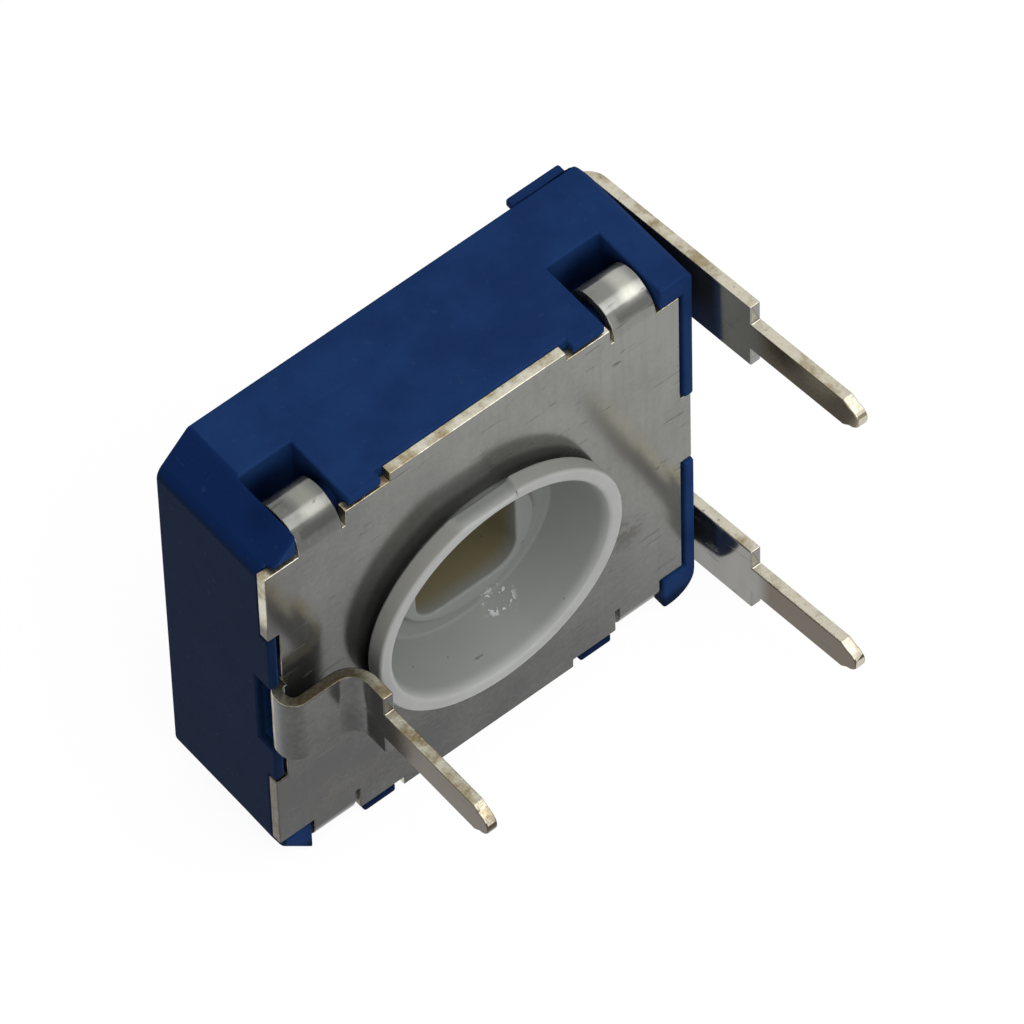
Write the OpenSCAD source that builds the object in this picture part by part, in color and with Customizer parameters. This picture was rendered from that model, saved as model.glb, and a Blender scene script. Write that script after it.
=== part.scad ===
// Square single-turn trimmer potentiometer with a sheet cover, a dished rotor and three flat solder pins.
// It stands on its lower side wall. X runs along the cover plate, Y from the plate into the housing, Z up.
// The origin is the middle of the face that it stands on. All sizes are in millimetres.

/* [Housing] */
// Width of the moulded housing, from side wall to side wall
body_w = 12.6; // [12.4:0.1:14]
// Height of the housing as it stands, from lower wall to upper wall
body_h = 13; // [12.8:0.1:14.5]
// Depth of the housing, from the rim that carries the cover plate to the back
body_d = 3.7; // [3.5:0.1:5]
// Thickness of the back wall
back_t = 0.9; // [0.8:0.05:1]
// Radius of the round cavity
cavity_r = 5.3; // [5.2:0.05:5.5]
// Size of the flat across the two left corners
chamfer = 0.95; // [0.6:0.05:1]
// Radius of the lower right corner
corner_r = 0.8; // [0.4:0.05:0.9]
// Size of the small flat on the upper right corner
small_flat = 0.2; // [0.1:0.05:0.3]
// How far the left lugs, left posts and pocket lugs stand ahead of the rim
lug_out = 0.28; // [0.2:0.02:0.3]
// How far the right lugs and right posts stand ahead of the rim
right_out = 0.38; // [0.3:0.02:0.42]
// Radius of the edge between the back and the right side
back_edge_r = 0.6; // [0.4:0.05:0.65]
// Thickness of the lugs behind the edge of the cover plate
lug_t = 0.28; // [0.2:0.02:0.3]
// Width of the four lugs beside the pockets
lug_w = 0.95; // [0.6:0.05:1.1]
// Depth of the four pockets below the wall's outer face
pocket_deep = 1.65; // [1.5:0.05:1.9]
// Length of the pockets behind the rim
pocket_len = 1.85; // [1.75:0.05:2.2]
// Height of the two locating ribs on the back
rib_out = 0.3; // [0.15:0.05:0.35]
// Length of the locating ribs
rib_len = 1.6; // [1:0.1:2]
// Half the angle that the rotor's stop takes up
stop_half = 28; // [24:0.5:28]

/* [Cover plate] */
// Thickness of the cover plate's sheet
plate_t = 0.3; // [0.25:0.01:0.35]
// Outer radius of the tabs that hook over the housing
hook_r = 0.8; // [0.75:0.01:0.85]
// Angle through which the tabs are bent
hook_turn = 162; // [140:1:165]
// Width of the tabs
tab_w = 1.25; // [1:0.05:1.25]
// Distance from the middle of the plate to the middle of a tab
tab_x = 4.65; // [4.6:0.01:4.7]
// Length of the plate's edge that reaches the housing's outer face above and below
tongue_w = 5.2; // [4:0.1:5.3]
// Length of the plate's edge that reaches the housing's outer face on the right
side_tongue = 2.5; // [1.5:0.1:3]
// Lug gap above the wiper terminal: its length along the plate's left edge
gap_above = 2.2; // [1.4:0.1:2.4]
// Lug gap below the wiper terminal: its length along the plate's left edge
gap_below = 1.45; // [1:0.05:1.6]
// Height of the plate's two lower corner cuts above the lower wall
low_cut = 1.15; // [0.9:0.05:1.3]

/* [Wiper terminal] */
// Width of the strip that leaves the plate
strip_w = 2.25; // [1.8:0.05:2.5]
// Height of the strip's middle below the rotor's axis
strip_drop = 0.2; // [0:0.05:0.4]
// How far the strip stands ahead of the plate
strip_out = 0.68; // [0.66:0.01:0.8]
// Distance from the housing's left side to the middle of the wiper pin
wiper_pin_in = 2.06; // [1.9:0.02:2.2]
// Width of the wiper pin
wiper_pin_w = 1; // [0.8:0.05:1.2]
// Distance from the plate's front to the wiper pin's shoulder
wiper_shoulder = 1.75; // [1.6:0.05:2.2]
// Distance from the plate's front to the wiper pin's tip
wiper_reach = 5.5; // [4.5:0.1:7]

/* [End terminals] */
// Distance between the middles of the two end pins
pin_pitch = 10; // [9.6:0.05:10.1]
// Thickness of the end terminals' sheet
term_t = 0.3; // [0.25:0.01:0.35]
// Width of the end terminals beside the housing
term_w = 2.3; // [1.8:0.05:2.35]
// Width of the end pins
pin_w = 1; // [0.8:0.05:1.3]
// Outward lean of the end terminals, in degrees
splay = 5.1; // [1:0.1:7]
// Distance from the plate's front to the end pins' shoulders
term_shoulder = 1.57; // [1.4:0.01:2.2]
// Distance from the plate's front to the end pins' tips
term_reach = 5.05; // [4.5:0.05:7]
// Inner radius of the bend at the housing's back edge
bend_r = 0.3; // [0.2:0.02:0.35]
// Length of the tapered end of each pin
tip_len = 0.5; // [0.45:0.05:0.7]

/* [Rotor] */
// Radius of the rotor's rim
rim_r = 3.65; // [3.6:0.05:3.9]
// Distance from the plate's front to the front of the rim
rim_out = 0.68; // [0.65:0.01:0.75]
// Thickness of the rim's edge
rim_t = 0.5; // [0.3:0.05:0.5]
// Radius of the neck that turns in the cover plate
neck_r = 3.22; // [3.2:0.01:3.26]
// Width of the rim's flat front
rim_land = 0.3; // [0.26:0.01:0.32]
// Radius of the dish where the neck passes through the plate
dish_mid_r = 3; // [2.9:0.01:3.02]
// Radius of the dish at its bottom
dish_r = 2.65; // [2.5:0.05:2.7]
// Depth of the dish behind the rim's front
dish_deep = 1.53; // [1.4:0.01:1.55]
// Radius of the raised collar around the socket
collar_r = 2.05; // [1.95:0.05:2.15]
// Height of the collar above the bottom of the dish
collar_up = 0.2; // [0.1:0.05:0.3]
// Width of the rounded square driver socket
socket_w = 3; // [2.6:0.05:3]
// Corner radius of the driver socket
socket_round = 0.7; // [0.5:0.05:0.9]
// Depth of the driver socket below the collar
socket_deep = 2.1; // [1:0.1:2.2]
// Depth of the flat cut into the rim's outer wall
mark_deep = 0.22; // [0.1:0.01:0.24]
// Length of that flat
mark_len = 1.5; // [1:0.1:1.6]
// Distance of that flat's middle from the rotor's centre line, to the left
mark_left = 0.24; // [0:0.02:0.3]
// Radius of the hub behind the neck
hub_r = 2.3; // [2.2:0.02:2.35]
// Radius of the journal that turns in the back wall
journal_r = 2; // [1.6:0.05:2.05]
// Outer radius of the stop lug on the hub
lug_r = 3.05; // [2.8:0.05:3.1]
// Half the angle that the stop lug takes up
lug_half = 26.5; // [20:0.5:26.5]
// Radius of the two pegs that drive the wiper
peg_r = 0.28; // [0.2:0.02:0.3]

/* [Wiper] */
// Thickness of the wiper's spring sheet
wiper_t = 0.2; // [0.15:0.01:0.25]
// Outer radius of the wiper's ring
ring_r = 3.2; // [3.15:0.01:3.3]
// Distance from the rotor's axis to the middle of the two bows
bow_x = 3.85; // [3.8:0.01:3.9]
// Width of the bows
bow_w = 0.7; // [0.5:0.05:0.75]
// Length of the bows from end to end
bow_len = 2.8; // [2.6:0.05:2.9]
// Length of each bow's flat contact face
touch_len = 0.7; // [0.4:0.05:0.8]

/* [Track] */
// Thickness of the track board
board_t = 0.8; // [0.6:0.05:0.9]
// Thickness of the carbon and silver films
film_t = 0.05; // [0.04:0.01:0.08]
// Width of the carbon track
track_w = 1.1; // [0.9:0.05:1.2]
// Half the angle of the gap between the track's ends
track_gap_half = 60; // [58:0.5:64]
// Distance from the rotor's axis to the rivets
rivet_at = 4.5; // [4.45:0.01:4.55]
// Angle of the rivets above and below the rotor's axis
rivet_angle = 40; // [39.5:0.5:41]
// Radius of the rivets' shanks
rivet_r = 0.4; // [0.3:0.02:0.42]
// Radius of the rivets' heads
head_r = 0.62; // [0.55:0.01:0.63]
// Thickness of the rivets' heads
head_t = 0.2; // [0.12:0.02:0.24]

/* [Hidden] */
$fn = 96;

// Running clearance of the rotor in the plate and in the back wall
run_gap = 0.05;
// Clearance of the wiper's contact faces and of pieces set in a seat
seat_gap = 0.02;
// Clearance between the housing and the bent sheet parts
sheet_gap = 0.04;
// Gap between the plate's edges and the lugs and posts beside them
edge_gap = 0.06;
// How far a cut runs past the face that it opens
over = 0.4;
// Radius of the lugs' front corners
lug_round = 0.15;
// Inner radii of the wiper strip's three bends
root_bend = 0.12;
lift_bend = 0.2;
drop_bend = 0.5;

half_w = body_w / 2;
half_h = body_h / 2;
mid_z = half_h;
rim_y = -body_d / 2;
back_y = body_d / 2;
floor_y = back_y - back_t;
board_y = floor_y - board_t;
film_y = board_y - film_t;
face_y = rim_y - plate_t;

front_y = face_y - rim_out;
dish_y = front_y + dish_deep;
ring_front_y = dish_y + 0.35;
ring_back_y = ring_front_y + wiper_t;
stop_y = ring_back_y + run_gap;

tab_in = tab_x - tab_w / 2;
tab_out = tab_x + tab_w / 2;
pocket_in = tab_in - 0.25;
pocket_out = tab_out + 0.05;
notch_z = half_h - lug_t - edge_gap;
hook_z = half_h - hook_r - sheet_gap;
post_x = tab_out + edge_gap;
post_z = hook_z - 0.05;
low_z = half_h - low_cut;
strip_top = strip_w / 2 - strip_drop;
strip_base = -strip_w / 2 - strip_drop;
side_x = half_w - lug_t - edge_gap;
side_top = side_tongue / 2 + 0.3;
side_base = -side_tongue / 2 + 0.2;

term_z = pin_pitch / 2;
term_x = half_w + sheet_gap;
root_y = back_y - term_t;
rib_z = term_z + term_w / 2 + 2 * seat_gap;
rivet_x = rivet_at * cos(rivet_angle);
rivet_z = rivet_at * sin(rivet_angle);
eye_r = head_r + 0.25;
track_r = bow_x;

// Extrudes a drawing in X and Z, centred on the rotor's axis, from y0 to y1
module slab(y0, y1) {
    translate([0, y1, mid_z])
        rotate([90, 0, 0])
            linear_extrude(y1 - y0) children();
}

// Extrudes a drawing in Y and Z, with Z counted from the rotor's axis, from x0 to x1
module across(x0, x1) {
    translate([x0, 0, mid_z])
        rotate([90, 0, 90])
            linear_extrude(x1 - x0) children();
}

// Extrudes a drawing in X and Y from z0 to z1, counted from the rotor's axis
module upward(z0, z1) {
    translate([0, 0, mid_z + z0])
        linear_extrude(z1 - z0) children();
}

// A box drawn from its lowest to its highest corner
module span(low, high) {
    translate(low) square(high - low);
}

// A pie slice between two angles, as far out as reach
module slice(a0, a1, reach) {
    steps = 6;
    polygon(concat([[0, 0]], [
        for (k = [0 : steps])
            2 * reach * [cos(a0 + (a1 - a0) * k / steps), sin(a0 + (a1 - a0) * k / steps)]
    ]));
}

// A flat ring, or the part of it between two angles
module ring(outer, inner) {
    difference() {
        circle(outer);
        circle(inner);
    }
}

module arc_band(outer, thick, a0, a1) {
    intersection() {
        ring(outer, outer - thick);
        slice(a0, a1, outer);
    }
}

// The housing's outline, seen from the front
module body_outline() {
    polygon([
        [-half_w + chamfer, -half_h], [half_w - corner_r, -half_h],
        [half_w, -half_h + corner_r], [half_w, half_h - small_flat],
        [half_w - small_flat, half_h], [-half_w + chamfer, half_h],
        [-half_w, half_h - chamfer], [-half_w, -half_h + chamfer]
    ]);
    translate([half_w - corner_r, -half_h + corner_r]) circle(corner_r);
}

// What stands ahead of the rim on the left: two corner posts and the lugs in the plate's gaps
module left_lugs() {
    intersection() {
        body_outline();
        union() {
            span([-half_w, post_z + edge_gap], [-post_x, half_h]);
            span([-half_w, -half_h], [-post_x, -low_z - edge_gap]);
            span([-half_w, strip_top + 0.5], [-half_w + lug_t, strip_top + gap_above - edge_gap]);
            span([-half_w, strip_base - gap_below + edge_gap], [-half_w + lug_t, strip_base - 0.25]);
        }
    }
}

// What stands ahead of the rim on the right: two corner posts and the lugs beside the plate's edge
module right_lugs() {
    intersection() {
        body_outline();
        union() {
            span([post_x, post_z + edge_gap], [half_w, half_h]);
            span([post_x, -half_h], [half_w, -low_z - edge_gap]);
            span([half_w - lug_t, side_top + edge_gap], [half_w, half_h]);
            span([half_w - lug_t, -half_h], [half_w, side_base - edge_gap]);
        }
    }
}

// The lug beside a pocket, seen from above, with its two front corners rounded
module pocket_lug() {
    w = lug_w / 2;
    difference() {
        span([-w, -lug_out], [w, over]);
        for (s = [-1, 1])
            translate([s * w, -lug_out]) square(2 * lug_round, center = true);
    }
    for (s = [-1, 1])
        translate([s * (w - lug_round), -lug_out + lug_round]) circle(lug_round);
}

// The nose that a tab hooks over, in Y and Z
module nose() {
    r = hook_r - plate_t - sheet_gap;
    translate([face_y + hook_r, hook_z]) circle(r);
    span([face_y + hook_r - r, half_h - pocket_deep - over], [face_y + hook_r + r, hook_z]);
}

// The seat of a terminal's root in the back; side is 1 above and -1 below
module root_seat(side) {
    seat_y = root_y - seat_gap;
    slab(seat_y, back_y + over) scale([1, side]) root_outline(seat_gap);
    upward(side * term_z - term_w / 2 - seat_gap, side * term_z + term_w / 2 + seat_gap)
        polygon([
            [half_w - bend_r, back_y + over], [half_w - bend_r, seat_y],
            [half_w, seat_y - bend_r], [half_w + over, seat_y - bend_r], [half_w + over, back_y + over]
        ]);
}

module housing() color([0.02, 0.16, 0.42]) {
    difference() {
        union() {
            slab(rim_y, back_y) body_outline();
            slab(rim_y - lug_out, rim_y + over) left_lugs();
            slab(rim_y - right_out, rim_y + over) right_lugs();
            for (s = [-1, 1]) {
                for (t = [-1, 1])
                    upward(s > 0 ? half_h - lug_t : -half_h, s > 0 ? half_h : -half_h + lug_t)
                        translate([t * (pocket_in - lug_w / 2), rim_y]) pocket_lug();
                slab(back_y - over, back_y + rib_out)
                    span([half_w - 0.4 - rib_len, s > 0 ? rib_z : -half_h + 0.06],
                        [half_w - 0.4, s > 0 ? half_h - 0.06 : -rib_z]);
            }
        }
        slab(rim_y - over, floor_y) circle(cavity_r);
        for (s = [-1, 1])
            for (t = [-1, 1])
                slab(rim_y - over, rim_y + pocket_len)
                    span([t > 0 ? pocket_in : -pocket_out, s > 0 ? half_h - pocket_deep : -half_h - over],
                        [t > 0 ? pocket_out : -pocket_in, s > 0 ? half_h + over : -half_h + pocket_deep]);
        slab(rim_y - over, rim_y + 0.4)
            span([-half_w - over, strip_base - 0.15], [-half_w + 0.6, strip_top + 0.15]);
        slab(floor_y - over, back_y + over) circle(journal_r + run_gap);
        for (s = [-1, 1]) {
            root_seat(s);
            slab(floor_y - over, back_y + over)
                translate([rivet_x, s * rivet_z]) circle(rivet_r + seat_gap);
        }
        upward(-half_h - over, half_h + over)
            difference() {
                span([half_w - back_edge_r, back_y - back_edge_r], [half_w + over, back_y + over]);
                translate([half_w - back_edge_r, back_y - back_edge_r]) circle(back_edge_r);
            }
    }
    for (s = [-1, 1])
        for (t = [-1, 1])
            across(t > 0 ? pocket_in - 0.1 : -pocket_out - 0.1, t > 0 ? pocket_out + 0.1 : -pocket_in + 0.1)
                scale([1, s]) nose();
    slab(stop_y, floor_y + 0.1)
        intersection() {
            ring(cavity_r + 0.1, hub_r + 0.15);
            slice(-stop_half, stop_half, cavity_r);
        }
}

// The flat of the cover plate, with its notches and the hole for the rotor
module plate_flat() {
    difference() {
        union() {
            span([-half_w, -low_z], [side_x, post_z]);
            span([-tab_in, -notch_z], [tab_in, notch_z]);
            span([-tongue_w / 2, -half_h + sheet_gap], [tongue_w / 2, half_h - sheet_gap]);
            for (s = [-1, 1])
                span([s > 0 ? tab_in : -tab_out, -hook_z], [s > 0 ? tab_out : -tab_in, hook_z]);
            span([side_x, side_base], [half_w - 0.02, side_top]);
        }
        circle(neck_r + run_gap);
        span([-half_w - over, strip_base - gap_below], [-half_w + lug_t + edge_gap, strip_top + gap_above]);
        span([-half_w - over, strip_base - over], [-half_w + root_bend + plate_t, strip_top + over]);
    }
}

// A tab, in Y and Z: it starts in the flat and turns over the housing's nose
module hook() {
    a = 180 - hook_turn;
    span([face_y, hook_z - 0.2], [rim_y, hook_z]);
    translate([face_y + hook_r, hook_z]) arc_band(hook_r, plate_t, a, 180);
}

// The strip that leaves the plate's left edge and ends in the wiper pin, in X and Y
module strip_path() {
    root_y = face_y - root_bend;
    run_y = face_y - strip_out;
    lift_y = run_y + plate_t + lift_bend;
    pin_x = -half_w + wiper_pin_in - plate_t / 2;
    drop_x = pin_x - drop_bend;
    drop_y = run_y - drop_bend;
    lift_x = -half_w + plate_t + lift_bend;
    translate([-half_w + root_bend + plate_t, root_y]) arc_band(root_bend + plate_t, plate_t, 90, 180);
    span([-half_w, lift_y], [-half_w + plate_t, root_y]);
    translate([lift_x, lift_y]) arc_band(lift_bend + plate_t, plate_t, 180, 270);
    span([lift_x, run_y], [drop_x, run_y + plate_t]);
    translate([drop_x, drop_y]) arc_band(drop_bend + plate_t, plate_t, 0, 90);
    span([pin_x, face_y - wiper_reach], [pin_x + plate_t, drop_y]);
}

// A pin with shoulders, in Y and Z, from the shoulder at y0 to the tip at y1
module pin_outline(w, y0, y1) {
    nose_w = 0.72 * w;
    polygon([
        [y0, -w / 2], [y1 + tip_len, -w / 2], [y1 + nose_w / 2, -nose_w / 2],
        [y1 + nose_w / 2, nose_w / 2], [y1 + tip_len, w / 2], [y0, w / 2]
    ]);
    translate([y1 + nose_w / 2, 0]) circle(nose_w / 2);
}

module cover_plate() color([0.72, 0.72, 0.7]) {
    slab(face_y, rim_y) plate_flat();
    for (s = [-1, 1])
        for (t = [-1, 1])
            across(t > 0 ? tab_in : -tab_out, t > 0 ? tab_out : -tab_in)
                scale([1, s]) hook();
    intersection() {
        upward(strip_base, strip_top) strip_path();
        across(-half_w - over, 0)
            translate([0, -strip_drop]) {
                span([face_y - wiper_shoulder, -strip_w / 2], [rim_y, strip_w / 2]);
                pin_outline(wiper_pin_w, face_y - wiper_shoulder, face_y - wiper_reach);
            }
    }
}

// Half of the rotor's section, as radius and Y
module rotor_section() {
    bevel = 0.06;
    polygon([
        [0, dish_y - collar_up], [collar_r, dish_y - collar_up], [collar_r + 0.05, dish_y], [dish_r, dish_y],
        [dish_mid_r, face_y], [rim_r - rim_land, front_y], [rim_r - bevel, front_y],
        [rim_r, front_y + bevel], [rim_r, front_y + rim_t - bevel], [rim_r - bevel, front_y + rim_t],
        [neck_r, front_y + rim_t], [neck_r, ring_front_y], [hub_r, ring_front_y],
        [hub_r, floor_y - run_gap], [journal_r, floor_y - run_gap], [journal_r, back_y], [0, back_y]
    ]);
}

// The driver socket's outline, a square with round corners
module socket_outline() {
    c = socket_w / 2 - socket_round;
    square([2 * c, socket_w], center = true);
    square([socket_w, 2 * c], center = true);
    for (s = [-1, 1])
        for (t = [-1, 1])
            translate([s * c, t * c]) circle(socket_round);
}

module rotor() color([0.85, 0.85, 0.82]) {
    difference() {
        translate([0, 0, mid_z])
            rotate([-90, 0, 0]) rotate_extrude() rotor_section();
        slab(dish_y - collar_up - over, dish_y - collar_up + socket_deep) socket_outline();
        slab(front_y - over, front_y + rim_t + 0.01)
            span([-mark_left - mark_len / 2, rim_r - mark_deep], [-mark_left + mark_len / 2, rim_r + over]);
    }
    slab(stop_y, film_y - 0.3)
        intersection() {
            ring(lug_r, hub_r - 0.1);
            slice(180 - lug_half, 180 + lug_half, lug_r);
        }
    for (s = [-1, 1])
        slab(ring_front_y - 0.1, ring_back_y)
            translate([0, s * (hub_r + ring_r) / 2]) circle(peg_r);
}

// A bow of the wiper, in Y and Z, from the ring's plane to a flat contact face at touch_y
module bow(touch_y) {
    t = wiper_t;
    flat = bow_len / 2 - 0.3;
    near = touch_y > ring_back_y ? touch_y - t : touch_y;
    polygon([
        [ring_front_y, -bow_len / 2], [ring_front_y + t, -bow_len / 2], [ring_front_y + t, -flat],
        [near + t, -touch_len / 2], [near + t, touch_len / 2], [ring_front_y + t, flat],
        [ring_front_y + t, bow_len / 2], [ring_front_y, bow_len / 2], [ring_front_y, flat],
        [near, touch_len / 2], [near, -touch_len / 2], [ring_front_y, -flat]
    ]);
}

module wiper() color([0.78, 0.62, 0.32]) {
    slab(ring_front_y, ring_back_y)
        difference() {
            union() {
                circle(ring_r);
                for (s = [-1, 1])
                    for (t = [-1, 1])
                        span([s > 0 ? 2.3 : -bow_x - bow_w / 2, t > 0 ? bow_len / 2 - 0.3 : -bow_len / 2],
                            [s > 0 ? bow_x + bow_w / 2 : -2.3, t > 0 ? bow_len / 2 : -bow_len / 2 + 0.3]);
            }
            circle(hub_r + seat_gap);
            for (s = [-1, 1])
                translate([0, s * (hub_r + ring_r) / 2]) circle(peg_r + seat_gap);
        }
    across(-bow_x - bow_w / 2, -bow_x + bow_w / 2) bow(film_y - seat_gap);
    across(bow_x - bow_w / 2, bow_x + bow_w / 2) bow(rim_y + seat_gap);
}

module track_board() color([0.55, 0.36, 0.2]) {
    slab(board_y, floor_y)
        difference() {
            circle(cavity_r - sheet_gap);
            circle(hub_r + 0.2);
            slice(-stop_half - 1, stop_half + 1, cavity_r);
            for (s = [-1, 1])
                translate([rivet_x, s * rivet_z]) circle(rivet_r + seat_gap);
        }
}

module carbon_track() color([0.1, 0.1, 0.1]) {
    slab(film_y, board_y)
        difference() {
            ring(track_r + track_w / 2, track_r - track_w / 2);
            slice(-track_gap_half, track_gap_half, track_r + track_w);
        }
}

// The silver film that joins one end of the track to its rivet; side is 1 above and -1 below
module end_pad(side) {
    slab(film_y, board_y)
        scale([1, side])
            difference() {
                intersection() {
                    ring(cavity_r - 0.15, track_r - track_w / 2);
                    slice(stop_half + 2, track_gap_half, cavity_r);
                }
                translate([rivet_x, rivet_z]) circle(rivet_r + seat_gap);
            }
}

module end_pad_upper() color([0.8, 0.8, 0.8]) end_pad(1);

module end_pad_lower() color([0.8, 0.8, 0.8]) end_pad(-1);

// An end terminal's bent sheet, in X and Y: root in the back, bend, and a leg that leans outwards
module leg_path() {
    leg = body_d + plate_t + term_reach;
    span([rivet_x - eye_r, root_y], [term_x - bend_r, back_y]);
    translate([term_x - bend_r, root_y - bend_r]) {
        arc_band(bend_r + term_t, term_t, splay, 90);
        rotate(splay) translate([bend_r, -leg]) square([term_t, leg]);
    }
}

// The same sheet's outline on the back, in X and Z: a broad root that narrows to the rivet's eye
module root_outline(grow = 0) {
    root_x = rivet_x + eye_r + 0.2;
    half = term_w / 2 + grow;
    mid = [root_x, term_z] - [rivet_x, rivet_z];
    side = (eye_r + grow) * [-mid[1], mid[0]] / norm(mid);
    polygon([
        [root_x, term_z - half], [half_w + 2, term_z - half],
        [half_w + 2, term_z + half], [root_x, term_z + half],
        [rivet_x, rivet_z] + side, [rivet_x, rivet_z] - side
    ]);
    translate([rivet_x, rivet_z]) circle(eye_r + grow);
}

module terminal(side) {
    difference() {
        intersection() {
            upward(-half_h, half_h) leg_path();
            union() {
                slab(face_y - term_shoulder, back_y + over) scale([1, side]) root_outline();
                across(half_w, half_w + 2)
                    translate([0, side * term_z]) {
                        pin_outline(pin_w, face_y - term_shoulder, face_y - term_reach);
                        span([face_y - term_shoulder - over, -pin_w / 2], [face_y, pin_w / 2]);
                    }
            }
        }
        slab(root_y - over, back_y + over)
            translate([rivet_x, side * rivet_z]) circle(rivet_r + seat_gap);
    }
}

module terminal_upper() color([0.75, 0.73, 0.68]) terminal(1);

module terminal_lower() color([0.75, 0.73, 0.68]) terminal(-1);

// A hollow rivet from the silver film to the terminal on the back
module rivet(side) {
    slab(film_y - head_t, film_y) translate([rivet_x, side * rivet_z]) ring(head_r, rivet_r / 2);
    slab(film_y - head_t, back_y + head_t)
        translate([rivet_x, side * rivet_z]) ring(rivet_r, rivet_r / 2);
    slab(back_y, back_y + head_t) translate([rivet_x, side * rivet_z]) ring(head_r, rivet_r / 2);
}

module rivet_upper() color([0.8, 0.7, 0.4]) rivet(1);

module rivet_lower() color([0.8, 0.7, 0.4]) rivet(-1);

housing();
cover_plate();
rotor();
wiper();
track_board();
carbon_track();
end_pad_upper();
end_pad_lower();
terminal_upper();
terminal_lower();
rivet_upper();
rivet_lower();
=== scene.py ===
"""The looks of a single-turn trimmer potentiometer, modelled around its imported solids.

Shapes are built in millimetres on a workbench of Blender's own modelling operators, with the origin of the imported
part. Each finished piece is then brought to metres and rides on the solid that it stands for.
"""

import logging
import math
from collections import Counter
from dataclasses import dataclass, field
from enum import Enum
from functools import cached_property
from typing import Callable, Sequence, Union

import bpy
from mathutils import Matrix, Vector
from mathutils.bvhtree import BVHTree


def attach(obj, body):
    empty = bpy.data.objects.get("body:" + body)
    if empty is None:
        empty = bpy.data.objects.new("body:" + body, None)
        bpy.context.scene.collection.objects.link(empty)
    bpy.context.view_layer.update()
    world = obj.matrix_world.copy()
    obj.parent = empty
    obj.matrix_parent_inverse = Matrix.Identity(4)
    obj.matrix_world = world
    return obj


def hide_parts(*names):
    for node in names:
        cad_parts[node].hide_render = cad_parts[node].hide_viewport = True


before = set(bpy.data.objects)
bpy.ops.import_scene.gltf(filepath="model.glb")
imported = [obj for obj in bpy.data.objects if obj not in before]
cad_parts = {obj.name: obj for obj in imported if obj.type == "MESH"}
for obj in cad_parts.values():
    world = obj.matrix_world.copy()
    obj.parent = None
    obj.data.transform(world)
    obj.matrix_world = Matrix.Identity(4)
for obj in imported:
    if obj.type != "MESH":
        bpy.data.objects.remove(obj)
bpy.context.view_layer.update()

log = logging.getLogger("trimmer")

Piece = bpy.types.Object
Material = bpy.types.Material
Point = tuple[float, float]
Place = tuple[float, float, float]
Ball = tuple[float, float, float, float]
Colour = tuple[float, float, float]

MM = 0.001
WELD = 1e-4  # points nearer than this are one, in millimetres
SHORT, OVER, LONG = 0.3, 0.5, 1.0  # how far cutters and laps run past what they meet, in millimetres
WHITE = (1, 1, 1, 1)


class Side(Enum):
    """Which end terminal or tab row a piece belongs to, above or below the rotor's axis."""

    UPPER = 1
    LOWER = -1


class Axis(Enum):
    """The direction in which a drawn outline is made into a solid."""

    X = 0
    Y = 1
    Z = 2


# ---------------------------------------------------------------------------------------------- workbench


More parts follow.
